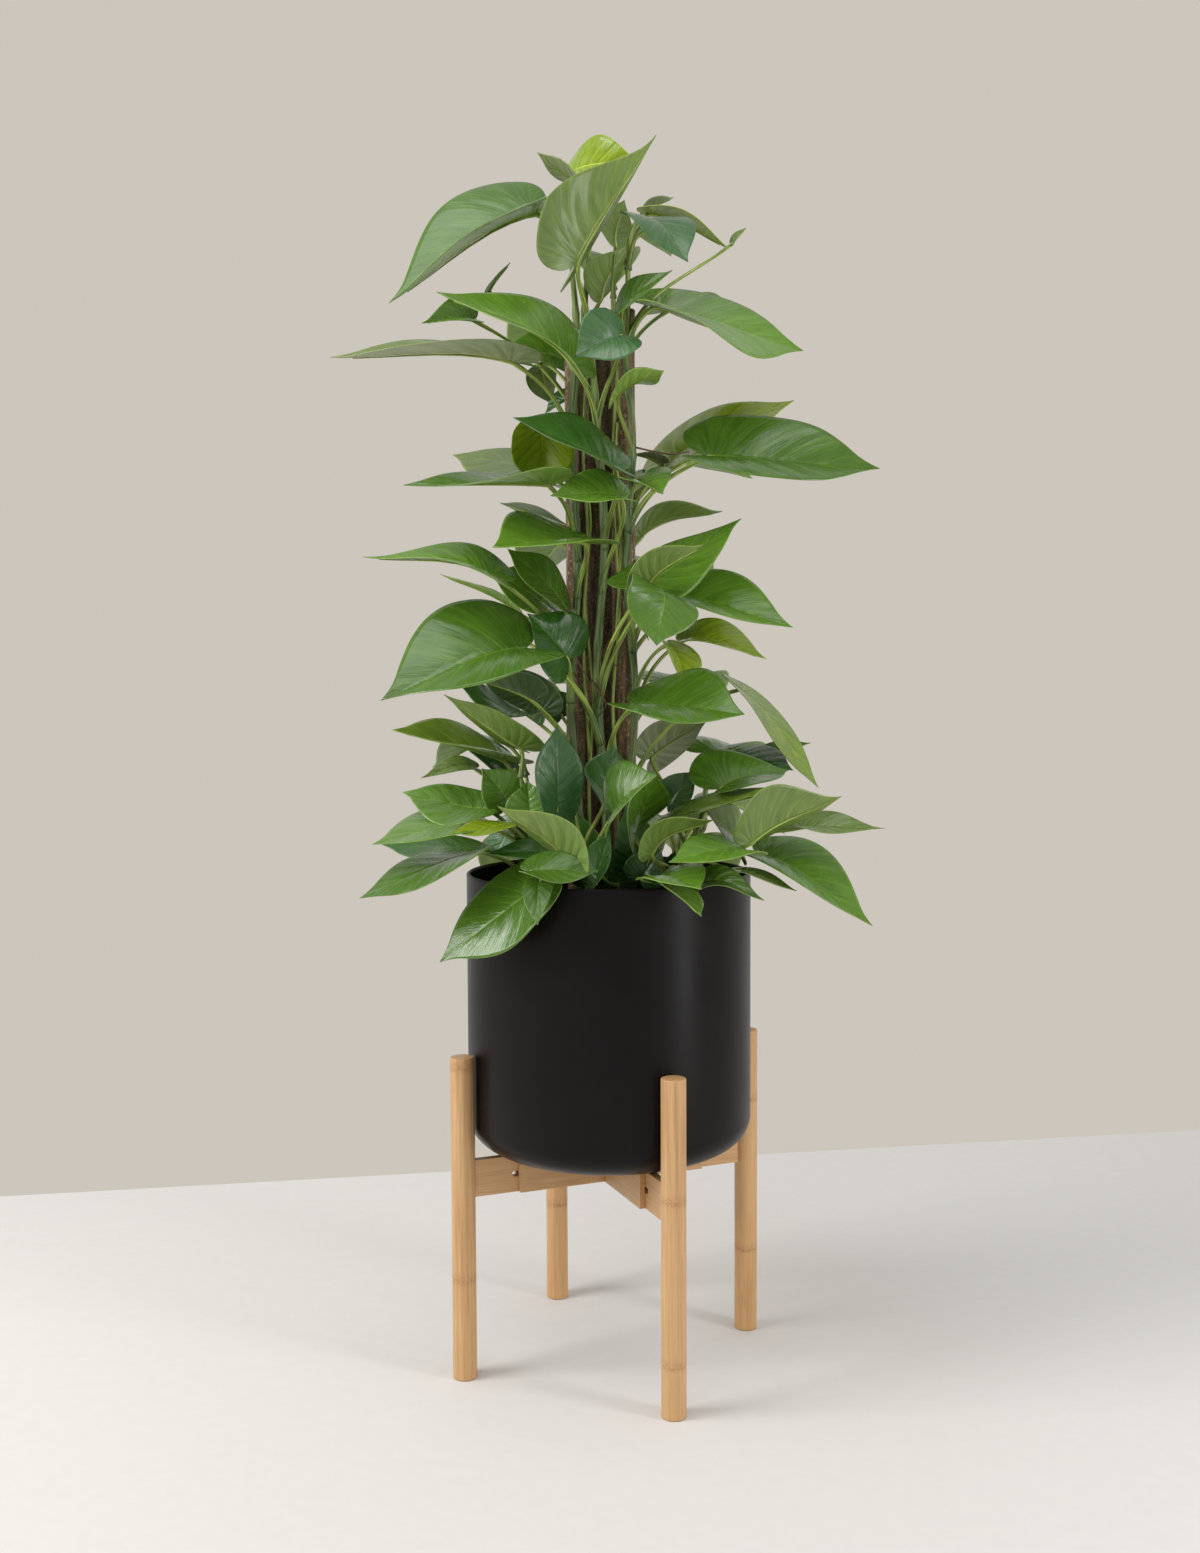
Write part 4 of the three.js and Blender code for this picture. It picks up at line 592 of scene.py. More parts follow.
# Leaf blades. The outline on one side runs from the petiole round the lobe to the tip: place along the
# midrib, share of the half width, and the place on the midrib that its vein leaves from.
OUTLINE = (
    (0.0, 0.0, 0.0), (-0.09, 0.16, 0.0), (-0.14, 0.42, 0.004), (-0.12, 0.70, 0.012), (-0.01, 0.91, 0.03),
    (0.14, 1.0, 0.045), (0.32, 0.99, 0.10), (0.49, 0.87, 0.20), (0.64, 0.66, 0.33), (0.77, 0.40, 0.49),
    (0.87, 0.18, 0.66), (0.94, 0.07, 0.82), (1.0, 0.0, 1.0),
)
BLADE_ROWS = 54
BLADE_COLUMNS = (0.0, 0.03, 0.09, 0.2, 0.34, 0.5, 0.66, 0.82, 0.94, 1.0)


def outline_rows(length, half_width):
    """The outline at even steps of its real length, without its two ends."""
    fine = spline(OUTLINE, 30)
    real = fine[:, :2] * (length, half_width)
    gone = lengths_along(real)
    wanted = np.linspace(0, gone[-1], BLADE_ROWS + 1)[1:-1]
    return np.stack([np.interp(wanted, gone, fine[:, i]) for i in range(3)], 1)


class Blade:
    """A leaf's own axes, and its middle surface."""

    def __init__(self, leaf):
        base, tip, self.width, face, fold, self.arch, twist, self.taper, self.tint = leaf
        self.start = np.array(base, float)
        along = np.array(tip, float) - self.start
        self.length = np.linalg.norm(along)
        self.along = along / self.length
        face = np.array(face, float)
        self.up = unit(face - self.along * (face @ self.along))
        self.across = np.cross(self.up, self.along)
        self.fold = math.tan(math.radians(fold))
        self.twist = math.radians(twist)

    def at(self, u, v, rise=0.0):
        """Points at shares u of the length and v, from -1 to 1, of the half width, raised by this much."""
        u, v, rise = np.broadcast_arrays(*(np.asarray(given, float) for given in (u, v, rise)))
        side = v * (1 - self.taper * np.clip((u - TAPER_START) / (1 - TAPER_START), 0, 1))
        outward = side * self.width / 2
        folded = self.fold * np.abs(outward) * (1 - FOLD_EASE * np.abs(side)) + rise
        turn = u * self.twist
        bow = ARCH_SHAPE * self.arch * self.length * np.where(u < 0, u, u * (1 - u) ** 2)
        across = outward * np.cos(turn) - folded * np.sin(turn)
        high = outward * np.sin(turn) + folded * np.cos(turn) + bow
        return (
            self.start + (u * self.length)[..., None] * self.along
            + across[..., None] * self.across + high[..., None] * self.up
        )


def add_blade(shell, leaf, dice):
    """One leaf blade: a thin closed skin with a sunken midrib above and a raised one below."""
    blade = Blade(leaf)
    rows = outline_rows(blade.length, blade.width / 2)
    signed = [-t for t in reversed(BLADE_COLUMNS[1:])] + list(BLADE_COLUMNS)
    columns = np.array(signed)
    spread = np.abs(columns)
    waves = dice.uniform(1.1, 2.1)
    lean = dice.uniform(-0.04, 0.04)
    twist = math.radians(dice.uniform(-7, 7))
    sway = dice.uniform(-0.05, 0.05)
    k = (np.arange(len(rows)) + 1)[:, None] / BLADE_ROWS
    out_u, out_v, rib = (rows[:, i][:, None] for i in range(3))
    u = rib + (out_u - rib) * (0.55 * spread + 0.45 * spread ** 2)
    inside = np.clip(u, 0, 1)
    v = out_v * columns * (1 + lean * np.sign(columns)) + sway * 4 * inside * (1 - inside)
    phase = np.where(columns < 0, dice.uniform(0, 6.3), dice.uniform(0, 6.3))
    wave = 0.017 * blade.width * spread ** 2 * out_v * np.sin(2 * math.pi * waves * k + phase)
    quilt = 0.0042 * blade.width * np.sin(math.pi * spread) * out_v * np.sin(2 * math.pi * VEIN_ROWS * k)
    wave = wave + math.tan(twist) * (inside - 0.3) * v * blade.width / 2
    outward = np.abs(out_v * columns) * blade.width / 2
    groove = np.exp(-(outward / 1.3) ** 2) * (1 - 0.7 * inside)
    half = BLADE_THICKNESS / 2
    top = blade.at(u, v, wave + quilt + half - 0.55 * groove)
    low = blade.at(u, v, wave + quilt - half - 0.7 * groove)
    wide = len(columns)
    count = len(rows) * wide
    ends = np.concatenate([blade.at([0.0, 1.0], 0.0, half), blade.at([0.0, 1.0], 0.0, -half)])
    points = np.concatenate([top.reshape(-1, 3), low.reshape(-1, 3), ends])
    faces = []
    for row in range(len(rows) - 1):
        for column in range(wide - 1):
            a = row * wide + column
            faces.append((a, a + wide, a + wide + 1, a + 1))
            faces.append((a + count, a + 1 + count, a + wide + 1 + count, a + wide + count))
    base_top, tip_top, base_low, tip_low = range(2 * count, 2 * count + 4)
    last = (len(rows) - 1) * wide
    for column in range(wide - 1):
        faces.append((base_top, column, column + 1))
        faces.append((base_low, column + 1 + count, column + count))
        faces.append((tip_top, last + column + 1, last + column))
        faces.append((tip_low, last + column + count, last + column + 1 + count))
    left = [base_top] + [row * wide for row in range(len(rows))] + [tip_top]
    right = [base_top] + [row * wide + wide - 1 for row in range(len(rows))] + [tip_top]

    def below(corner):
        return corner + count if corner < count else corner + 2

    for a, b in zip(left, left[1:]):
        faces.append((a, below(a), below(b), b))
    for a, b in zip(right, right[1:]):
        faces.append((a, b, below(b), below(a)))
    tone = dice.uniform(0.88, 1.1)
    tint_top = linear(UPPER[blade.tint]) * tone
    tint_low = linear(UNDER[blade.tint]) * tone
    own = dice.uniform(0, 60)
    place = np.stack([k + 0 * columns, columns + 0 * k, 0 * k + 0 * columns + own], -1).reshape(-1, 3)
    tips = np.array([[0, 0, own], [1, 0, own]])
    places = np.concatenate([place, place, tips, tips])
    tints = np.concatenate([np.tile(tint_top, (count, 1)), np.tile(tint_low, (count, 1)),
                            np.tile(tint_top, (2, 1)), np.tile(tint_low, (2, 1))])
    under = np.concatenate([np.zeros(count), np.ones(count), [0, 0, 1, 1]])
    shell.add(points, faces, 0, leaf_place=places, tint=tints, under=under)
    return blade


def add_stalk(shell, line, radii, sides, tints, flute=0.0):
    """A round stalk along a line, with each point's place on its skin for the streaks that run along it.
    tints is one colour, or one for each point of the line."""
    line = np.asarray(line, float)
    points, faces = tube(line, radii, sides, flute)
    gone = lengths_along(line)
    turns = turns_round(sides)
    rings = np.stack([
        np.tile(np.cos(turns), len(line)), np.tile(np.sin(turns), len(line)),
        np.repeat(gone + 7 * line[0][0] + line[0][2], sides),
    ], 1)
    tints = np.broadcast_to(tints, (len(line), 3))
    colours = np.concatenate([np.repeat(tints, sides, 0), tints[[0, -1]]])
    shell.add(points, faces, 1, tint=colours, stalk_place=np.concatenate([rings, rings[[0, -1]]]))


def line_at_height(line, height):
    """The first point of a line that is this high, or one just before its end."""
    for place in line[:-4]:
        if place[2] >= height:
            return place
    return line[-5]


def add_petiole(shell, line, blade, order, dice):
    """A petiole from its stem to the blade, running on as the raised midrib under it."""
    rib = blade.at([0.0, FIRST_RIB], 0.0)
    end = rib[0] + PETIOLE_END * (rib[1] - rib[0])
    base = blade.start
    level = line_at_height(line, base[2])
    reach = math.hypot(base[0] - level[0], base[1] - level[1])
    lowest = PETIOLE_LOWEST + PETIOLE_STAGGER * (order % 5)
    start = line_at_height(line, max(base[2] - PETIOLE_DROP - PETIOLE_SLANT * reach, lowest))
    way = end - start
    span = np.linalg.norm(way)
    flat = np.array([way[0], way[1], 0]) / span
    leaving = unit(PETIOLE_LEAN * flat + (0, 0, 1))
    rise = np.array((0, 0, MEETING_RISE * max(MEETING_FALL, way[2] / span)))
    meeting = unit(MEETING_OUT * flat + MEETING_ALONG * blade.along + rise)
    pull = PETIOLE_PULL * span
    radius = PETIOLE_THIN + blade.width * PETIOLE_PER_WIDTH
    end = blade.at(0.02, 0.0) - blade.up * radius * 0.55
    pulls = (start, start + leaving * pull, end - meeting * pull, end)
    steps = 22
    line_points = []
    for step in range(steps + 1):
        t = step / steps
        shares = ((1 - t) ** 3, 3 * (1 - t) ** 2 * t, 3 * (1 - t) * t * t, t ** 3)
        line_points.append(sum(share * point for share, point in zip(shares, pulls)))
    t = np.linspace(0, 1, steps + 1)
    sheath = 0.65 * np.clip(1 - t / 0.6, 0, 1)
    radii = radius * (1 + sheath + 0.6 * np.exp(-(t / 0.07) ** 2) + 0.2 * np.exp(-((t - 0.93) / 0.05) ** 2))
    under = np.array([0.08, 0.18, 0.3, 0.45, 0.6, 0.75, 0.88])
    thin = radius * 0.62 * (1 - under) ** 0.9 + 0.15
    ridge = blade.at(under, 0.0, -BLADE_THICKNESS / 2 - 0.55 - 0.35 * thin)
    middle = np.concatenate([line_points, ridge])
    tint = linear(PETIOLE_GREEN) * dice.uniform(0.8, 1.15)
    root = linear(VINE_GREEN)
    share = np.clip(3 * np.linspace(0, 1, len(middle)), 0, 1)[:, None]
    add_stalk(shell, middle, np.concatenate([radii, thin]), 9, root + (tint - root) * share)


def add_vine(shell, path, radius, dice):
    """A climbing or leaning stem with a swelling at each node. Its young top is thinner and paler."""
    line = spline(path, 16)
    gone = lengths_along(line)
    offset = dice.uniform(0, 40)
    radii = np.full(len(line), radius * 0.93)
    for place in np.arange(offset, gone[-1], NODE_SPACING):
        radii += radius * NODE_SWELL * np.exp(-((gone - place) / NODE_LENGTH) ** 2)
    even = np.arange(0, gone[-1], 3.0)
    points = np.stack([np.interp(even, gone, line[:, i]) for i in range(3)], 1)
    widths = np.interp(even, gone, radii)
    young = np.clip((even - gone[-1]) / YOUNG_TOP + 1, 0, 1)
    tints = linear(VINE_GREEN) + (linear(PETIOLE_GREEN) - linear(VINE_GREEN)) * young[:, None]
    add_stalk(shell, points, widths * (1 - 0.5 * young), 24, tints, 0.08)
    return points


def add_roots(shell, line, dice):
    """Thin aerial roots that leave a climbing stem's nodes and cling to the stake behind it."""
    for place in range(24, len(line) - 30, 19):
        start = line[place]
        if not ROOTS_FROM < start[2] < ROOTS_TO:
            continue
        stake = min(STAKES, key=lambda row: abs(row[1] - start[0]))
        side = dice.uniform(-0.9, 0.9)
        toward = np.array((stake[1] + STAKE_RADIUS * math.sin(side), stake[2], 0)) - start
        toward[2] = dice.uniform(-34, -8)
        front = -1 if start[1] < stake[2] else 1
        cling = STAKE_RADIUS + 0.5
        goal = start + toward
        goal[0] = stake[1] + cling * math.sin(side)
        goal[1] = stake[2] + front * cling * math.cos(side)
        sag = np.array((dice.uniform(-5, 5), front * dice.uniform(3, 7), dice.uniform(-4, 4)))
        bend = (start + goal) / 2 + sag
        trail = goal + np.array((dice.uniform(-3, 3), 0, dice.uniform(-30, -12)))
        aside = min(abs(trail[0] - stake[1]), cling - 0.3)
        trail[1] = stake[2] + front * math.sqrt(cling ** 2 - aside ** 2)
        points = spline((start, bend, goal, trail), 6)
        widths = np.linspace(1.15, 0.45, len(points))
        add_stalk(shell, points, widths, 6, linear(ROOT_BROWN) * dice.uniform(0.7, 1.1))


def keep_inside(shell):
    """Draws in the edge of a piece that would pass the part's own box."""
    low, high = np.array(cad_box) / MM
    every = np.concatenate(shell.points)
    for axis in range(3):
        for side, limit in ((-1, low[axis]), (1, high[axis])):
            past = (every[:, axis] * side).max() - limit * side
            if past <= 0:
                continue
            start = limit * side - EDGE_REACH
            share = EDGE_REACH / (EDGE_REACH + past + BOX_SPARE)
            for points in shell.points:
                measure = points[:, axis] * side
                drawn = start + (measure - start) * share
                points[:, axis] = side * np.where(measure > start, drawn, measure)


def leafy_piece(name, stem, seed, materials):
    """A vine with its leaves and petioles. One of them also carries the free roots and the young shoots."""
    dice = random.Random(seed)
    shell = Shell()
    line = spline(stem["path"], LINE_STEPS // (len(stem["path"]) - 1))
    vine = add_vine(shell, stem["path"], stem["radius"], dice)
    if stem["radius"] >= 4:
        add_roots(shell, vine, dice)
    for order, leaf in enumerate(stem["leaves"]):
        blade = add_blade(shell, leaf, dice)
        add_petiole(shell, line, blade, order, dice)
    if name == "stem_right":
        for path in FREE_ROOTS:
            line = spline(path, 8)
            add_stalk(shell, line, np.linspace(ROOT_RADIUS, 0.5, len(line)), 7, linear(ROOT_BROWN))
        for path in SHOOTS:
            line = spline(path, 12)
            radii = np.linspace(SHOOT_RADIUS, SHOOT_RADIUS * 0.6, len(line))
            add_stalk(shell, line, radii, 10, linear(PETIOLE_GREEN) * dice.uniform(0.6, 1.0))
    keep_inside(shell)
    piece = shell.build(name + "_foliage", materials)
    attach(piece, ROOT)
    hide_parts(name)


# Materials

def shader(name):
    """A new material, its node tree and its main shader."""
    material = bpy.data.materials.new(name)
    material.use_nodes = True
    return material, material.node_tree, material.node_tree.nodes["Principled BSDF"]


def node(tree, kind, sockets=None, **settings):
    """A new node. A socket's value is a number, a colour or another node's output."""
    made = tree.nodes.new("ShaderNode" + kind)
    for key, value in settings.items():
        setattr(made, key, value)
    dress(tree, made, sockets or {})
    return made


def dress(tree, made, sockets):
    """Gives a node's sockets their values, by the sockets' names."""
    for key, value in sockets.items():
        join(tree, made.inputs[key], value)


def join(tree, socket, value):
    """Links a socket to another node's output, or sets its value."""
    if isinstance(value, bpy.types.NodeSocket):
        tree.links.new(value, socket)
    else:
        socket.default_value = value


def sums(tree, operation, first, second=0.0, third=None):
    """One step of arithmetic on up to three values."""
    made = tree.nodes.new("ShaderNodeMath")
    made.operation = operation
    join(tree, made.inputs[0], first)
    join(tree, made.inputs[1], second)
    if third is not None:
        join(tree, made.inputs[2], third)
    return made.outputs[0]


def mixed(tree, share, first, second, blend="MIX"):
    """The first colour with a share of the second mixed in, or multiplied onto it."""
    made = tree.nodes.new("ShaderNodeMix")
    made.data_type = "RGBA"
    made.blend_type = blend
    made.clamp_factor = True
    join(tree, made.inputs[0], share)
    join(tree, made.inputs[6], first)
    join(tree, made.inputs[7], second)
    return made.outputs[2]


def between(tree, value, low, high, start=0.0, end=1.0):
    """A value that goes from start to end while the given one goes from low to high."""
    ends = {"From Min": low, "From Max": high, "To Min": start, "To Max": end}
    made = node(tree, "MapRange", {"Value": value, **ends})
    made.clamp = True
    return made.outputs[0]


def noise(tree, place, scale, detail=3.0, rough=0.5):
    """Soft random spots from 0 to 1."""
    made = node(tree, "TexNoise", {"Vector": place, "Scale": scale, "Detail": detail, "Roughness": rough})
    return made.outputs["Fac"]


def scaled(tree, place, scale):
    """Coordinates that are scaled on each axis."""
    return node(tree, "Mapping", {"Vector": place, "Scale": scale}).outputs[0]


def stretched(tree, scale, turn=0.0):
    """The piece's own coordinates, turned about Z and scaled."""
    place = node(tree, "TexCoord").outputs["Object"]
    turned = node(tree, "VectorRotate", {"Vector": place, "Axis": (0, 0, 1), "Angle": turn}).outputs[0]
    return scaled(tree, turned, scale)


def stored(tree, name, output="Fac"):
    """What the piece's mesh holds under this name."""
    return node(tree, "Attribute", attribute_name=name).outputs[output]


def toned(tree, tint, tone):
    """A colour made lighter or darker, channel by channel."""
    return mixed(tree, 1.0, tint, (*tone, 1), "MULTIPLY")


def laid(tree, base, over, value, low, high, most):
    """A colour with another laid over it, up to this share as a value goes from low to high."""
    return mixed(tree, between(tree, value, low, high, 0.0, most), base, over)


def colour(screen):
    """A screen colour as a shader's opaque colour."""
    return (*linear(screen), 1.0)


def bump(tree, height, strength, distance):
    """A rough surface whose height follows a value."""
    made = node(tree, "Bump", {"Height": height, "Strength": strength, "Distance": distance})
    return made.outputs[0]


def leaf_material():
    """Waxy leaf skin: veins that follow the blade's rows, mottling, a pale midrib, a painted highlight along
    the margin and a duller underside.
    """
    material, tree, main = shader("leaf_skin")
    place = stored(tree, "leaf_place", "Vector")
    tint = stored(tree, "tint", "Color")
    under = stored(tree, "under")
    parts = node(tree, "SeparateXYZ", {"Vector": place})
    along, across = parts.outputs[0], parts.outputs[1]
    out = sums(tree, "ABSOLUTE", across)
    skin_place = stretched(tree, (1, 1, 1))
    streak_place = scaled(tree, place, (34, 1.5, 1))
    streak = noise(tree, streak_place, 1.0, 2.0, 0.55)
    fine_place = scaled(tree, place, (95, 2.4, 1))
    fine = noise(tree, fine_place, 1.0, 2.0, 0.6)
    band_place = scaled(tree, place, (9, 1.1, 1))
    band = noise(tree, band_place, 1.0, 2.0)
    drift = noise(tree, skin_place, 30.0, 2.0)
    row = sums(tree, "MULTIPLY_ADD", drift, 0.03, along)
    wave = sums(tree, "SINE", sums(tree, "MULTIPLY", row, 2 * math.pi * VEIN_ROWS))
    fade = between(tree, out, 0.0, 0.95, 1.0, 0.15)
    vein = sums(tree, "MULTIPLY", between(tree, wave, 0.78, 1.0), fade)
    rib = between(tree, out, 0.012, 0.045, 1.0, 0.0)
    # Painted highlight: a thin pale line along the leaf's margin, where its rim would catch the light.
    edge = between(tree, out, 0.97, 0.995)
    mottle = noise(tree, skin_place, 110.0, 5.0, 0.6)
    broad = noise(tree, skin_place, 22.0, 2.0)
    light = toned(tree, tint, (1.55, 1.35, 1.5))
    dark = toned(tree, tint, (0.62, 0.7, 0.62))
    pale = toned(tree, tint, (2.3, 1.8, 2.2))
    yellowed = toned(tree, tint, (1.35, 1.2, 0.85))
    base = mixed(tree, between(tree, broad, 0.3, 0.7), dark, tint)
    base = laid(tree, base, yellowed, along, 0.35, 1.0, 0.5)
    base = laid(tree, base, light, band, 0.45, 0.75, 0.45)
    base = laid(tree, base, light, streak, 0.5, 0.74, 0.6)
    base = laid(tree, base, dark, streak, 0.44, 0.22, 0.5)
    base = laid(tree, base, light, fine, 0.52, 0.7, 0.5)
    base = laid(tree, base, dark, fine, 0.46, 0.3, 0.4)
    base = laid(tree, base, light, mottle, 0.55, 0.8, 0.25)
    vein_share = sums(tree, "MULTIPLY_ADD", under, -0.1, 0.42)
    base = mixed(tree, sums(tree, "MULTIPLY", vein, vein_share), base, pale)
    base = mixed(tree, sums(tree, "MULTIPLY", rib, 0.75), base, pale)
    # Lays the painted highlight along the margin.
    base = mixed(tree, sums(tree, "MULTIPLY", edge, 0.35), base, pale)
    rough = sums(tree, "MULTIPLY_ADD", under, 0.22, between(tree, mottle, 0.3, 0.75, 0.17, 0.31))
    height = sums(tree, "MULTIPLY_ADD", streak, 1.6, sums(tree, "MULTIPLY", wave, -0.45))
    height = sums(tree, "MULTIPLY_ADD", mottle, 0.4, sums(tree, "MULTIPLY_ADD", fine, 0.5, height))
    dress(tree, main, {
        "Base Color": base,
        "Roughness": rough,
        "Normal": bump(tree, height, 0.7, 0.0008),
        "Specular IOR Level": 0.42,
        "Coat Weight": 0.32,
        "Coat Roughness": 0.14,
    })
    return material


def stalk_material():
    """Petioles, vines and roots: their own green or brown, with streaks along them and small flecks."""
    material, tree, main = shader("stalk_skin")
    tint = stored(tree, "tint", "Color")
    place = stored(tree, "stalk_place", "Vector")
    streak_place = scaled(tree, place, (2.6, 2.6, 0.03))
    streak = noise(tree, streak_place, 1.0, 3.0)
    fleck = noise(tree, stretched(tree, (1, 1, 1)), 420.0, 2.0)
    broad = noise(tree, stretched(tree, (1, 1, 1)), 26.0, 2.0)
    dark = toned(tree, tint, (0.42, 0.5, 0.42))
    light = toned(tree, tint, (1.75, 1.6, 1.6))
    base = mixed(tree, between(tree, streak, 0.4, 0.6), dark, light)
    base = laid(tree, base, colour((118, 96, 58)), broad, 0.55, 0.75, 0.45)
    base = laid(tree, base, colour((150, 140, 96)), fleck, 0.64, 0.72, 0.4)
    dress(tree, main, {
        "Base Color": base,
        "Roughness": between(tree, fleck, 0.3, 0.7, 0.38, 0.55),
        "Normal": bump(tree, streak, 0.4, 0.0006),
    })
    return material


def bamboo_material(name, scale, turn=0.0, rings=False):
    """Lacquered bamboo: fine fibres along the piece, soft bands, and the marks of its joints on a pole."""
    material, tree, main = shader(name)
    fibre_place = stretched(tree, scale, turn)
    fibre = noise(tree, fibre_place, 1.0, 5.0, 0.65)
    strip_place = stretched(tree, tuple(s * 0.16 for s in scale), turn)
    strip = noise(tree, strip_place, 1.0, 2.0)
    broad = noise(tree, stretched(tree, (14, 14, 5), turn), 1.0, 2.0)
    base = mixed(tree, between(tree, fibre, 0.32, 0.7), colour((176, 130, 82)), colour((216, 174, 122)))
    base = laid(tree, base, colour((204, 156, 100)), strip, 0.4, 0.62, 0.55)
    base = laid(tree, base, colour((226, 188, 138)), broad, 0.35, 0.7, 0.35)
    dash = noise(tree, stretched(tree, tuple(s * 2.2 for s in scale), turn), 1.0, 2.0)
    base = laid(tree, base, colour((150, 104, 60)), dash, 0.66, 0.74, 0.4)
    if rings:
        ring = stored(tree, "ring")
        speck = noise(tree, stretched(tree, (900, 900, 420)), 1.0, 2.0)
        marks = sums(tree, "MULTIPLY", ring, between(tree, speck, 0.38, 0.6))
        base = mixed(tree, sums(tree, "MULTIPLY", marks, 0.75), base, colour((148, 100, 58)))
        end = stored(tree, "end_grain")
        dots = noise(tree, stretched(tree, (1400, 1400, 10)), 1.0, 2.0)
        grain = mixed(tree, between(tree, dots, 0.5, 0.62), colour((214, 170, 116)), colour((160, 112, 68)))
        base = mixed(tree, end, base, grain)
    dress(tree, main, {
        "Base Color": base,
        "Roughness": between(tree, fibre, 0.3, 0.7, 0.36, 0.52),
        "Normal": bump(tree, fibre, 0.25, 0.0004),
        "Coat Weight": 0.15,
        "Coat Roughness": 0.35,
    })
    return material


def pot_material():
    """Satin black plastic with a faint grain and a little dust."""
    material, tree, main = shader("pot_skin")
    place = stretched(tree, (1, 1, 1))
    grain = noise(tree, place, 900.0, 2.0)
    cloud = noise(tree, place, 14.0, 3.0)
    base = mixed(tree, between(tree, cloud, 0.35, 0.7), colour((12, 9, 10)), colour((17, 14, 15)))
    dust = noise(tree, place, 160.0, 5.0, 0.7)
    base = laid(tree, base, colour((84, 80, 78)), dust, 0.64, 0.8, 0.1)
    dress(tree, main, {
        "Base Color": base,
        "Roughness": between(tree, cloud, 0.3, 0.7, 0.3, 0.36),
        "Normal": bump(tree, grain, 0.12, 0.0003),
        "Specular IOR Level": 0.16,
    })
    return material


def bark_material(name, light):
    """Rough grey-brown bark with painted shade in its cracks and in the hollows between its ridges, and moss
    here and there.
    """
    material, tree, main = shader(name)
    painted_crack_shade = stored(tree, "crack")
    fibre = noise(tree, stretched(tree, (260, 260, 22)), 1.0, 6.0, 0.7)
    cloud = noise(tree, stretched(tree, (1, 1, 1)), 16.0, 3.0)
    speck = noise(tree, stretched(tree, (1, 1, 1)), 320.0, 3.0, 0.7)
    base = mixed(tree, between(tree, fibre, 0.3, 0.72), colour((44, 36, 29)), colour((126, 103, 78)))
    base = laid(tree, base, colour((104, 88, 70)), cloud, 0.5, 0.72, 0.55)
    base = laid(tree, base, colour((176, 154, 118)), speck, 0.54, 0.68, 0.75)
    moss = sums(tree, "MULTIPLY", between(tree, cloud, 0.56, 0.66), between(tree, speck, 0.4, 0.6))
    base = mixed(tree, sums(tree, "MULTIPLY", moss, 0.6), base, colour((92, 96, 48)))
    # Painted shade: near black laid into the cracks and into the hollows between the ridges.
    base = mixed(tree, sums(tree, "MULTIPLY", painted_crack_shade, 0.9), base, colour((24, 19, 15)))
    base = toned(tree, base, (light, light, light))
    dress(tree, main, {
        "Base Color": base,
        "Roughness": between(tree, fibre, 0.3, 0.7, 0.8, 0.95),
        "Normal": bump(tree, sums(tree, "ADD", fibre, speck), 0.7, 0.0012),
    })
    return material


def soil_material():
    """Dark moist potting soil, with pale grit and bark chips coloured by their own value."""
    material, tree, main = shader("soil_skin")
    chip = stored(tree, "chip")
    crumb = noise(tree, stretched(tree, (1, 1, 1)), 240.0, 6.0, 0.75)
    base = mixed(tree, between(tree, crumb, 0.35, 0.7), colour((26, 19, 14)), colour((66, 49, 36)))
    wood = mixed(tree, between(tree, crumb, 0.35, 0.65), colour((74, 48, 30)), colour((128, 90, 60)))
    grit = mixed(tree, between(tree, crumb, 0.3, 0.7), colour((170, 164, 150)), colour((222, 218, 206)))
    base = mixed(tree, between(tree, chip, 0.3, 0.5), base, wood)
    base = mixed(tree, between(tree, chip, 0.8, 0.95), base, grit)
    dress(tree, main, {
        "Base Color": base,
        "Roughness": between(tree, crumb, 0.3, 0.7, 0.85, 0.98),
        "Normal": bump(tree, crumb, 0.9, 0.002),
    })
    return material


def steel_material():
    """Turned steel with fine rings across it."""
    material, tree, main = shader("pin_steel_skin")
    turned = noise(tree, stretched(tree, (60, 60, 1600)), 1.0, 3.0)
    base = mixed(tree, turned, colour((150, 150, 152)), colour((190, 190, 192)))
    dress(tree, main, {
        "Base Color": base,
        "Metallic": 1.0,
        "Roughness": between(tree, turned, 0.3, 0.7, 0.28, 0.42),
    })
    return material


def floor_material():
    """Pale studio floor with a barely seen texture."""
    material, tree, main = shader("floor_skin")
    grain = noise(tree, stretched(tree, (1, 1, 1)), 60.0, 4.0)
    base = mixed(tree, grain, colour((222, 219, 217)), colour((228, 226, 224)))
    dress(tree, main, {
        "Base Color": base,
        "Roughness": between(tree, grain, 0.3, 0.7, 0.85, 0.95),
    })
    return material


# Pieces

def corner_turn(corner):
    """How far a corner's beam is turned from the X axis."""
    return FRONT_LEG_TURN - math.pi / 2 + corner * math.pi / 2


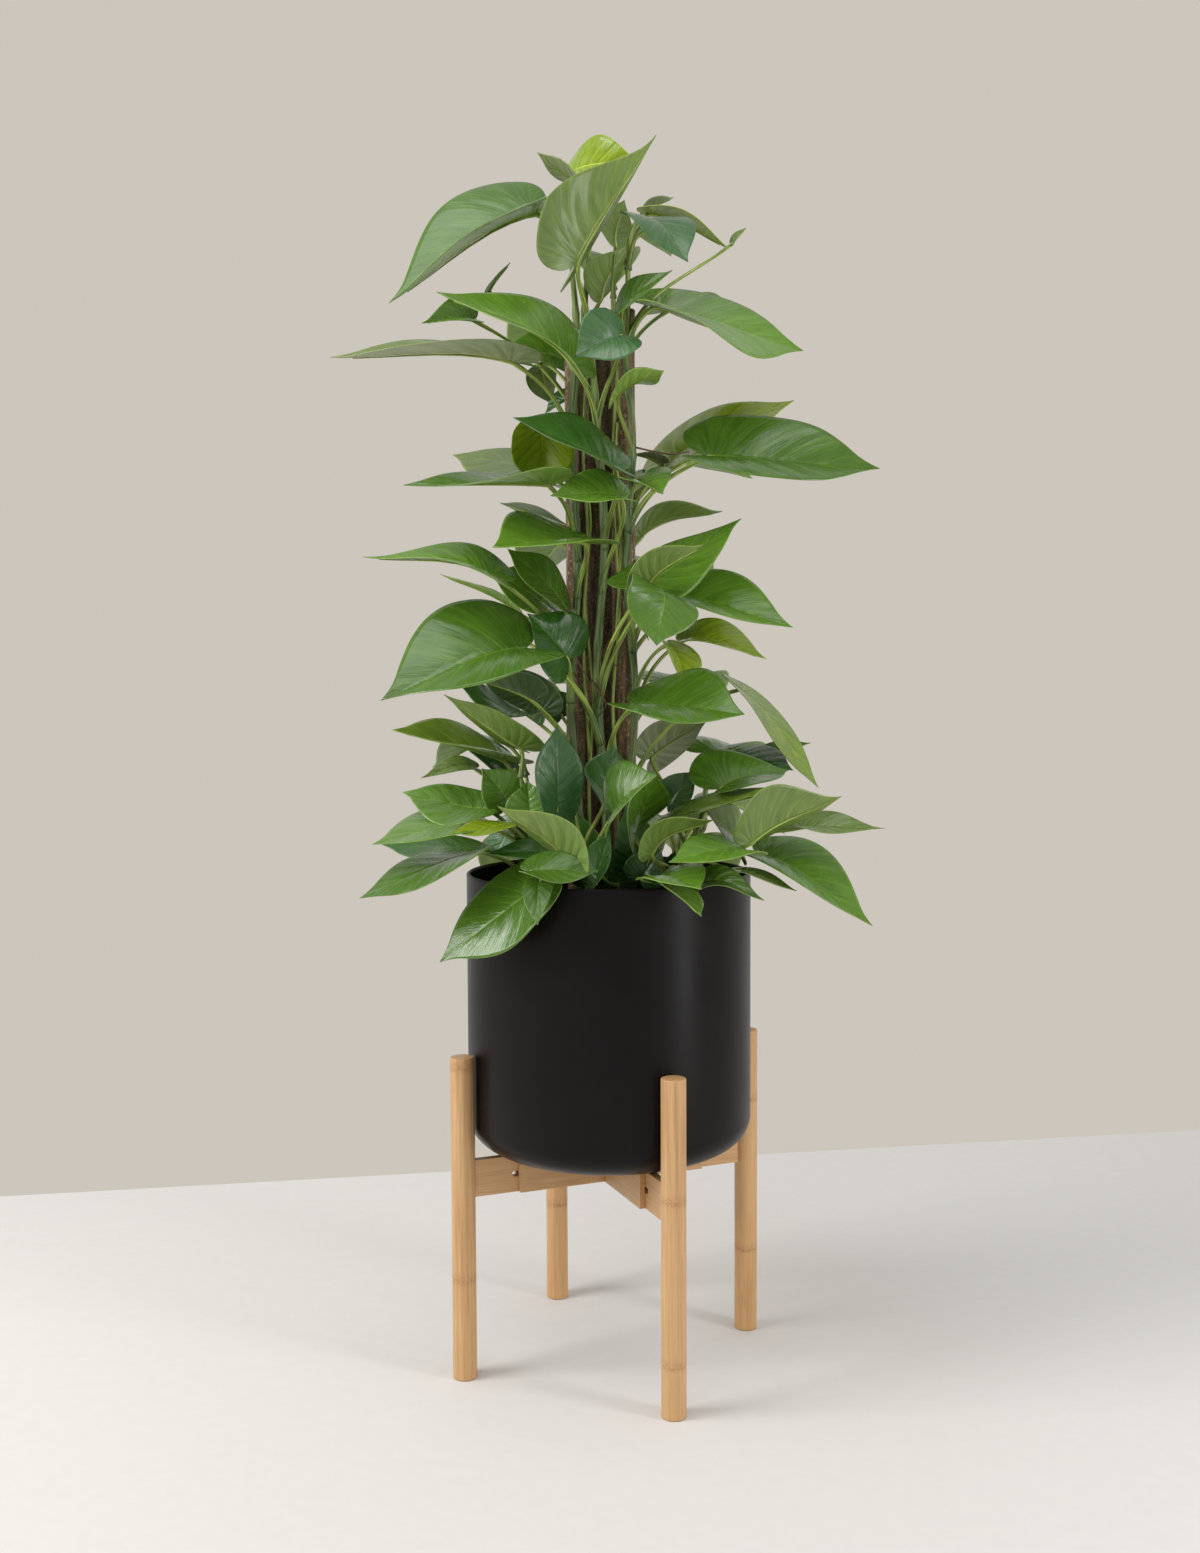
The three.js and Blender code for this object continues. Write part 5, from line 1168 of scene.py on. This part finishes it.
def leg_piece(corner, where, material):
    """A round bamboo pole with rounded ends and two faint joint rings."""
    heights = np.concatenate([[0.0], np.linspace(LEG_EDGE, LEG_HEIGHT - LEG_EDGE, 150), [LEG_HEIGHT]])
    profile = [(0.0, 0.0), (LEG_RADIUS - LEG_EDGE, 0.0), (LEG_RADIUS - 0.4, 0.4)]
    ring_share = [0.0, 0.0, 0.0]
    for height in heights[1:-1]:
        near = max(math.exp(-((height - ring) / 1.6) ** 2) for ring in LEG_RINGS[where])
        wide = max(math.exp(-((height - ring - 3) / 5.0) ** 2) for ring in LEG_RINGS[where])
        profile.append((LEG_RADIUS - 0.12 + 0.12 * wide - 0.18 * near, height))
        ring_share.append(max(near, 0.55 * wide))
    profile += [(LEG_RADIUS - 0.4, LEG_HEIGHT - 0.4), (LEG_RADIUS - LEG_EDGE, LEG_HEIGHT), (0.0, LEG_HEIGHT)]
    ring_share += [0.0, 0.0, 0.0]
    sides = 56
    points, faces = lathe(profile, sides)
    turn = corner_turn(corner)
    points += (LEG_CIRCLE * math.cos(turn), LEG_CIRCLE * math.sin(turn), 0)
    ring = np.concatenate([np.repeat(ring_share[1:-1], sides), [0, 0]])
    rows = len(profile) - 2
    ends = np.zeros(rows)
    ends[[0, rows - 1]] = 1
    end_grain = np.concatenate([np.repeat(ends, sides), [1, 1]])
    shell = Shell()
    shell.add(points, faces, 0, ring=ring, end_grain=end_grain)
    piece = shell.build("pole_" + where, [material])
    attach(piece, "sliding_leg_" + where)
    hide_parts("leg_" + where)


def eased_copy(name, body, material):
    """A flat stand piece with its sharp edges eased."""
    piece = frame["nodes"][name].copy()
    piece.data = frame["nodes"][name].data.copy()
    piece.name = name + "_eased"
    piece.parent = None
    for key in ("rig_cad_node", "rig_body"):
        if key in piece:
            del piece[key]
    bpy.context.scene.collection.objects.link(piece)
    piece.data.materials.clear()
    piece.data.materials.append(material)
    ease = piece.modifiers.new("ease", "BEVEL")
    ease.width = 0.0007
    ease.segments = 2
    ease.limit_method = "ANGLE"
    ease.angle_limit = math.radians(50)
    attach(piece, body)
    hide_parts(name)


def quarter(radius, floor, wide, high, steps):
    """A quarter of an ellipse from flat floor to upright wall."""
    points = []
    for step in range(steps + 1):
        turn = step / steps * math.pi / 2
        points.append((radius - wide + wide * math.sin(turn), floor + high - high * math.cos(turn)))
    return points


def pot_piece(material):
    """The pot with a rounded foot and a soft lip."""
    inside = POT_RADIUS - POT_WALL
    floor = POT_BOTTOM + POT_FLOOR
    profile = [(0.0, POT_BOTTOM)]
    profile += quarter(POT_RADIUS, POT_BOTTOM, FOOT_ROUND_WIDTH, FOOT_ROUND_HEIGHT, 20)
    profile += [(POT_RADIUS, height) for height in np.linspace(POT_STRAIGHT, POT_RIM - 3, 10)]
    lip = POT_WALL / 2
    for turn in np.linspace(0, math.pi, 7):
        height = POT_RIM - LIP_HEIGHT + LIP_HEIGHT * math.sin(turn)
        profile.append((inside + lip + lip * math.cos(turn), height))
    profile += [(inside, height) for height in np.linspace(POT_RIM - 3, POT_STRAIGHT, 6)]
    profile += quarter(inside, floor, FOOT_ROUND_WIDTH, FOOT_ROUND_HEIGHT, 10)[::-1]
    profile.append((0.0, floor))
    shell = Shell()
    shell.add(*lathe(profile, 168))
    piece = shell.build("pot_body", [material])
    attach(piece, ROOT)
    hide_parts("pot")


def stake_piece(name, x, y, top, seed, material):
    """A rough stake: ridged bark with cracks that run up and down it."""
    dice = random.Random(seed)
    sides = 60
    heights = np.arange(STAKE_FOOT, top + 0.1, 4.0)
    turns = turns_round(sides)
    turn, height = np.meshgrid(turns, heights)
    rough = np.zeros_like(turn)
    for _ in range(16):
        waves = dice.randint(2, 13)
        rough += dice.uniform(0.3, 1.0) / math.sqrt(waves) * np.sin(
            waves * turn + height * dice.uniform(-0.035, 0.035) + dice.uniform(0, 6.3))
    rough /= np.abs(rough).max()
    crack = np.zeros_like(turn)
    for _ in range(9):
        centre = dice.uniform(0, 2 * math.pi)
        middle = dice.uniform(STAKE_FOOT, top)
        long = dice.uniform(40, 130)
        drift = centre + 0.25 * np.sin((height - middle) / 50 + dice.uniform(0, 6))
        apart = np.abs((turn - drift + math.pi) % (2 * math.pi) - math.pi)
        crack = np.maximum(crack, np.exp(-(apart / 0.09) ** 2) * np.exp(-((height - middle) / long) ** 2))
    radius = STAKE_RADIUS - 0.2 + 0.8 * rough - 1.3 * crack
    points = np.stack([x + radius * np.cos(turn), y + radius * np.sin(turn), height], -1).reshape(-1, 3)
    points = np.concatenate([points, [[x, y, STAKE_FOOT], [x, y, top - 0.6]]])
    # Painted shade for the bark's colour: darkest in the cracks, and darker in the hollows between the
    # ridges.
    shade = np.clip(crack + np.clip(-rough, 0, 1) * 0.7, 0, 1)
    shell = Shell()
    shell.add(points, ring_faces(len(heights), sides), 0, crack=np.concatenate([shade.ravel(), [0, 0]]))
    piece = shell.build(name + "_bark", [material])
    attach(piece, ROOT)
    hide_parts(name)


def soil_piece(material):
    """Uneven potting soil with bark chips and grit lying on it."""
    dice = random.Random(SOIL_SEED)
    inside = POT_RADIUS - POT_WALL - 0.4
    shell = Shell()
    sides = 72
    rings = 26
    turns = turns_round(sides)
    rows = []
    for ring in range(1, rings + 1):
        radius = inside * ring / rings
        rough = np.array([dice.uniform(-1.6, 1.6) for _ in turns])
        height = SOIL_TOP + SOIL_HEAP * (1 - ring / rings) + rough
        rows.append(np.stack([radius * np.cos(turns), radius * np.sin(turns), height], 1))
    for radius, height in ((inside, SOIL_NARROWS), (inside - 60, SOIL_BOTTOM)):
        rows.append(np.stack([radius * np.cos(turns), radius * np.sin(turns), 0 * turns + height], 1))
    points = np.concatenate(rows + [[[0, 0, SOIL_TOP + 3], [0, 0, SOIL_BOTTOM]]])
    faces = [(face[0], *face[:0:-1]) for face in ring_faces(len(rows), sides)]
    shell.add(points, faces, 0, chip=np.zeros(len(points)))
    corners = np.array([(a, b, c) for a in (-1, 1) for b in (-1, 1) for c in (-1, 1)], float)
    box = ((0, 1, 3, 2), (4, 6, 7, 5), (0, 4, 5, 1), (2, 3, 7, 6), (0, 2, 6, 4), (1, 5, 7, 3))
    for index in range(SOIL_CHIPS):
        grit = index % 5 == 0
        if grit:
            size = np.full(3, dice.uniform(1.0, 2.0))
        else:
            size = np.array([dice.uniform(3, 8), dice.uniform(1.5, 4), dice.uniform(0.8, 1.8)])
        jag = np.array([[dice.uniform(0.65, 1.1) for _ in range(3)] for _ in range(8)])
        turn = dice.uniform(0, 6.3)
        tilt = dice.uniform(-0.4, 0.4)
        spin = np.array(Matrix.Rotation(turn, 3, "Z") @ Matrix.Rotation(tilt, 3, "X"))
        reach = (inside - 9) * math.sqrt(dice.random())
        away = dice.uniform(0, 6.3)
        height = SOIL_TOP + 3.2 - SOIL_HEAP * reach / inside
        at = np.array((reach * math.cos(away), reach * math.sin(away), height))
        chip = (corners * size * jag) @ spin.T + at
        shell.add(chip, box, 0, chip=np.full(8, 1.0 if grit else 0.6))
    piece = shell.build("soil_bed", [material], smooth=False)
    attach(piece, ROOT)
    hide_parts("soil")


# The camera, the floor and the lights

def camera():
    """The photograph's view: about 1.6 m in front of the pot, a little over half the plant's height."""
    data = bpy.data.cameras.new("camera")
    made = in_scene("camera", data)
    yaw = Matrix.Rotation(math.radians(CAMERA_YAW), 4, "Z")
    pitch = Matrix.Rotation(math.radians(90 + CAMERA_PITCH), 4, "X")
    roll = Matrix.Rotation(math.radians(-CAMERA_ROLL), 4, "Z")
    made.matrix_world = Matrix.Translation(CAMERA_PLACE) @ yaw @ pitch @ roll
    data.sensor_width = SENSOR
    data.lens = LENS
    data.clip_end = 100
    bpy.context.scene.camera = made


def area_light(name, place, target, size, power, tone):
    """A rectangular light that shines at its target."""
    data = bpy.data.lights.new(name, "AREA")
    data.shape = "RECTANGLE"
    data.size, data.size_y = size
    data.energy = power
    data.color = tone
    made = in_scene(name, data)
    made.location = place
    made.rotation_euler = (Vector(target) - Vector(place)).to_track_quat("-Z", "Y").to_euler()


def studio():
    """The wall's colour behind, light from all round, the floor and the lights."""
    bpy.context.scene.view_settings.view_transform = "Standard"
    world = bpy.data.worlds.new("studio")
    bpy.context.scene.world = world
    world.use_nodes = True
    tree = world.node_tree
    seen = node(tree, "LightPath").outputs["Is Camera Ray"]
    back = tree.nodes["Background"]
    join(tree, back.inputs["Color"], mixed(tree, seen, colour(AMBIENT), colour(WALL)))
    corners = np.array([(x, y, z) for z in (FLOOR_BOTTOM, FLOOR_TOP) for x, y in FLOOR])
    sides = [(a, (a + 1) % 4, (a + 1) % 4 + 4, a + 4) for a in range(4)]
    shell = Shell()
    shell.add(corners, [(3, 2, 1, 0), (4, 5, 6, 7), *sides])
    floor = shell.build("floor", [floor_material()], smooth=False)
    for light in LIGHTS:
        area_light(*light)


camera()
studio()

pole = bamboo_material("bamboo_pole", (360, 360, 9), rings=True)
beam_one = bamboo_material("bamboo_beam_lengthways", (9, 420, 420), -corner_turn(0))
beam_two = bamboo_material("bamboo_beam_crossways", (9, 420, 420), -corner_turn(1))
for corner, where in enumerate(CORNERS):
    leg_piece(corner, where, pole)
    eased_copy("arm_" + where, "sliding_leg_" + where, (beam_one, beam_two)[corner % 2])
for name in ("board_lengthways_right", "board_lengthways_left"):
    eased_copy(name, ROOT, beam_one)
for name in ("board_crossways_back", "board_crossways_front"):
    eased_copy(name, ROOT, beam_two)
steel = steel_material()
for where in CORNERS:
    pin = frame["nodes"]["pin_" + where]
    pin.data.materials.clear()
    pin.data.materials.append(steel)

pot_piece(pot_material())
soil_piece(soil_material())
for seed, (name, x, y, top) in enumerate(STAKES):
    bark = bark_material(name + "_bark_skin", BARK_LIGHT[seed])
    stake_piece(name, x, y, top, STAKE_SEED + seed, bark)
skins = [leaf_material(), stalk_material()]
for seed, (name, stem) in enumerate(STEMS.items()):
    leafy_piece(name, stem, LEAF_SEED + seed, skins)
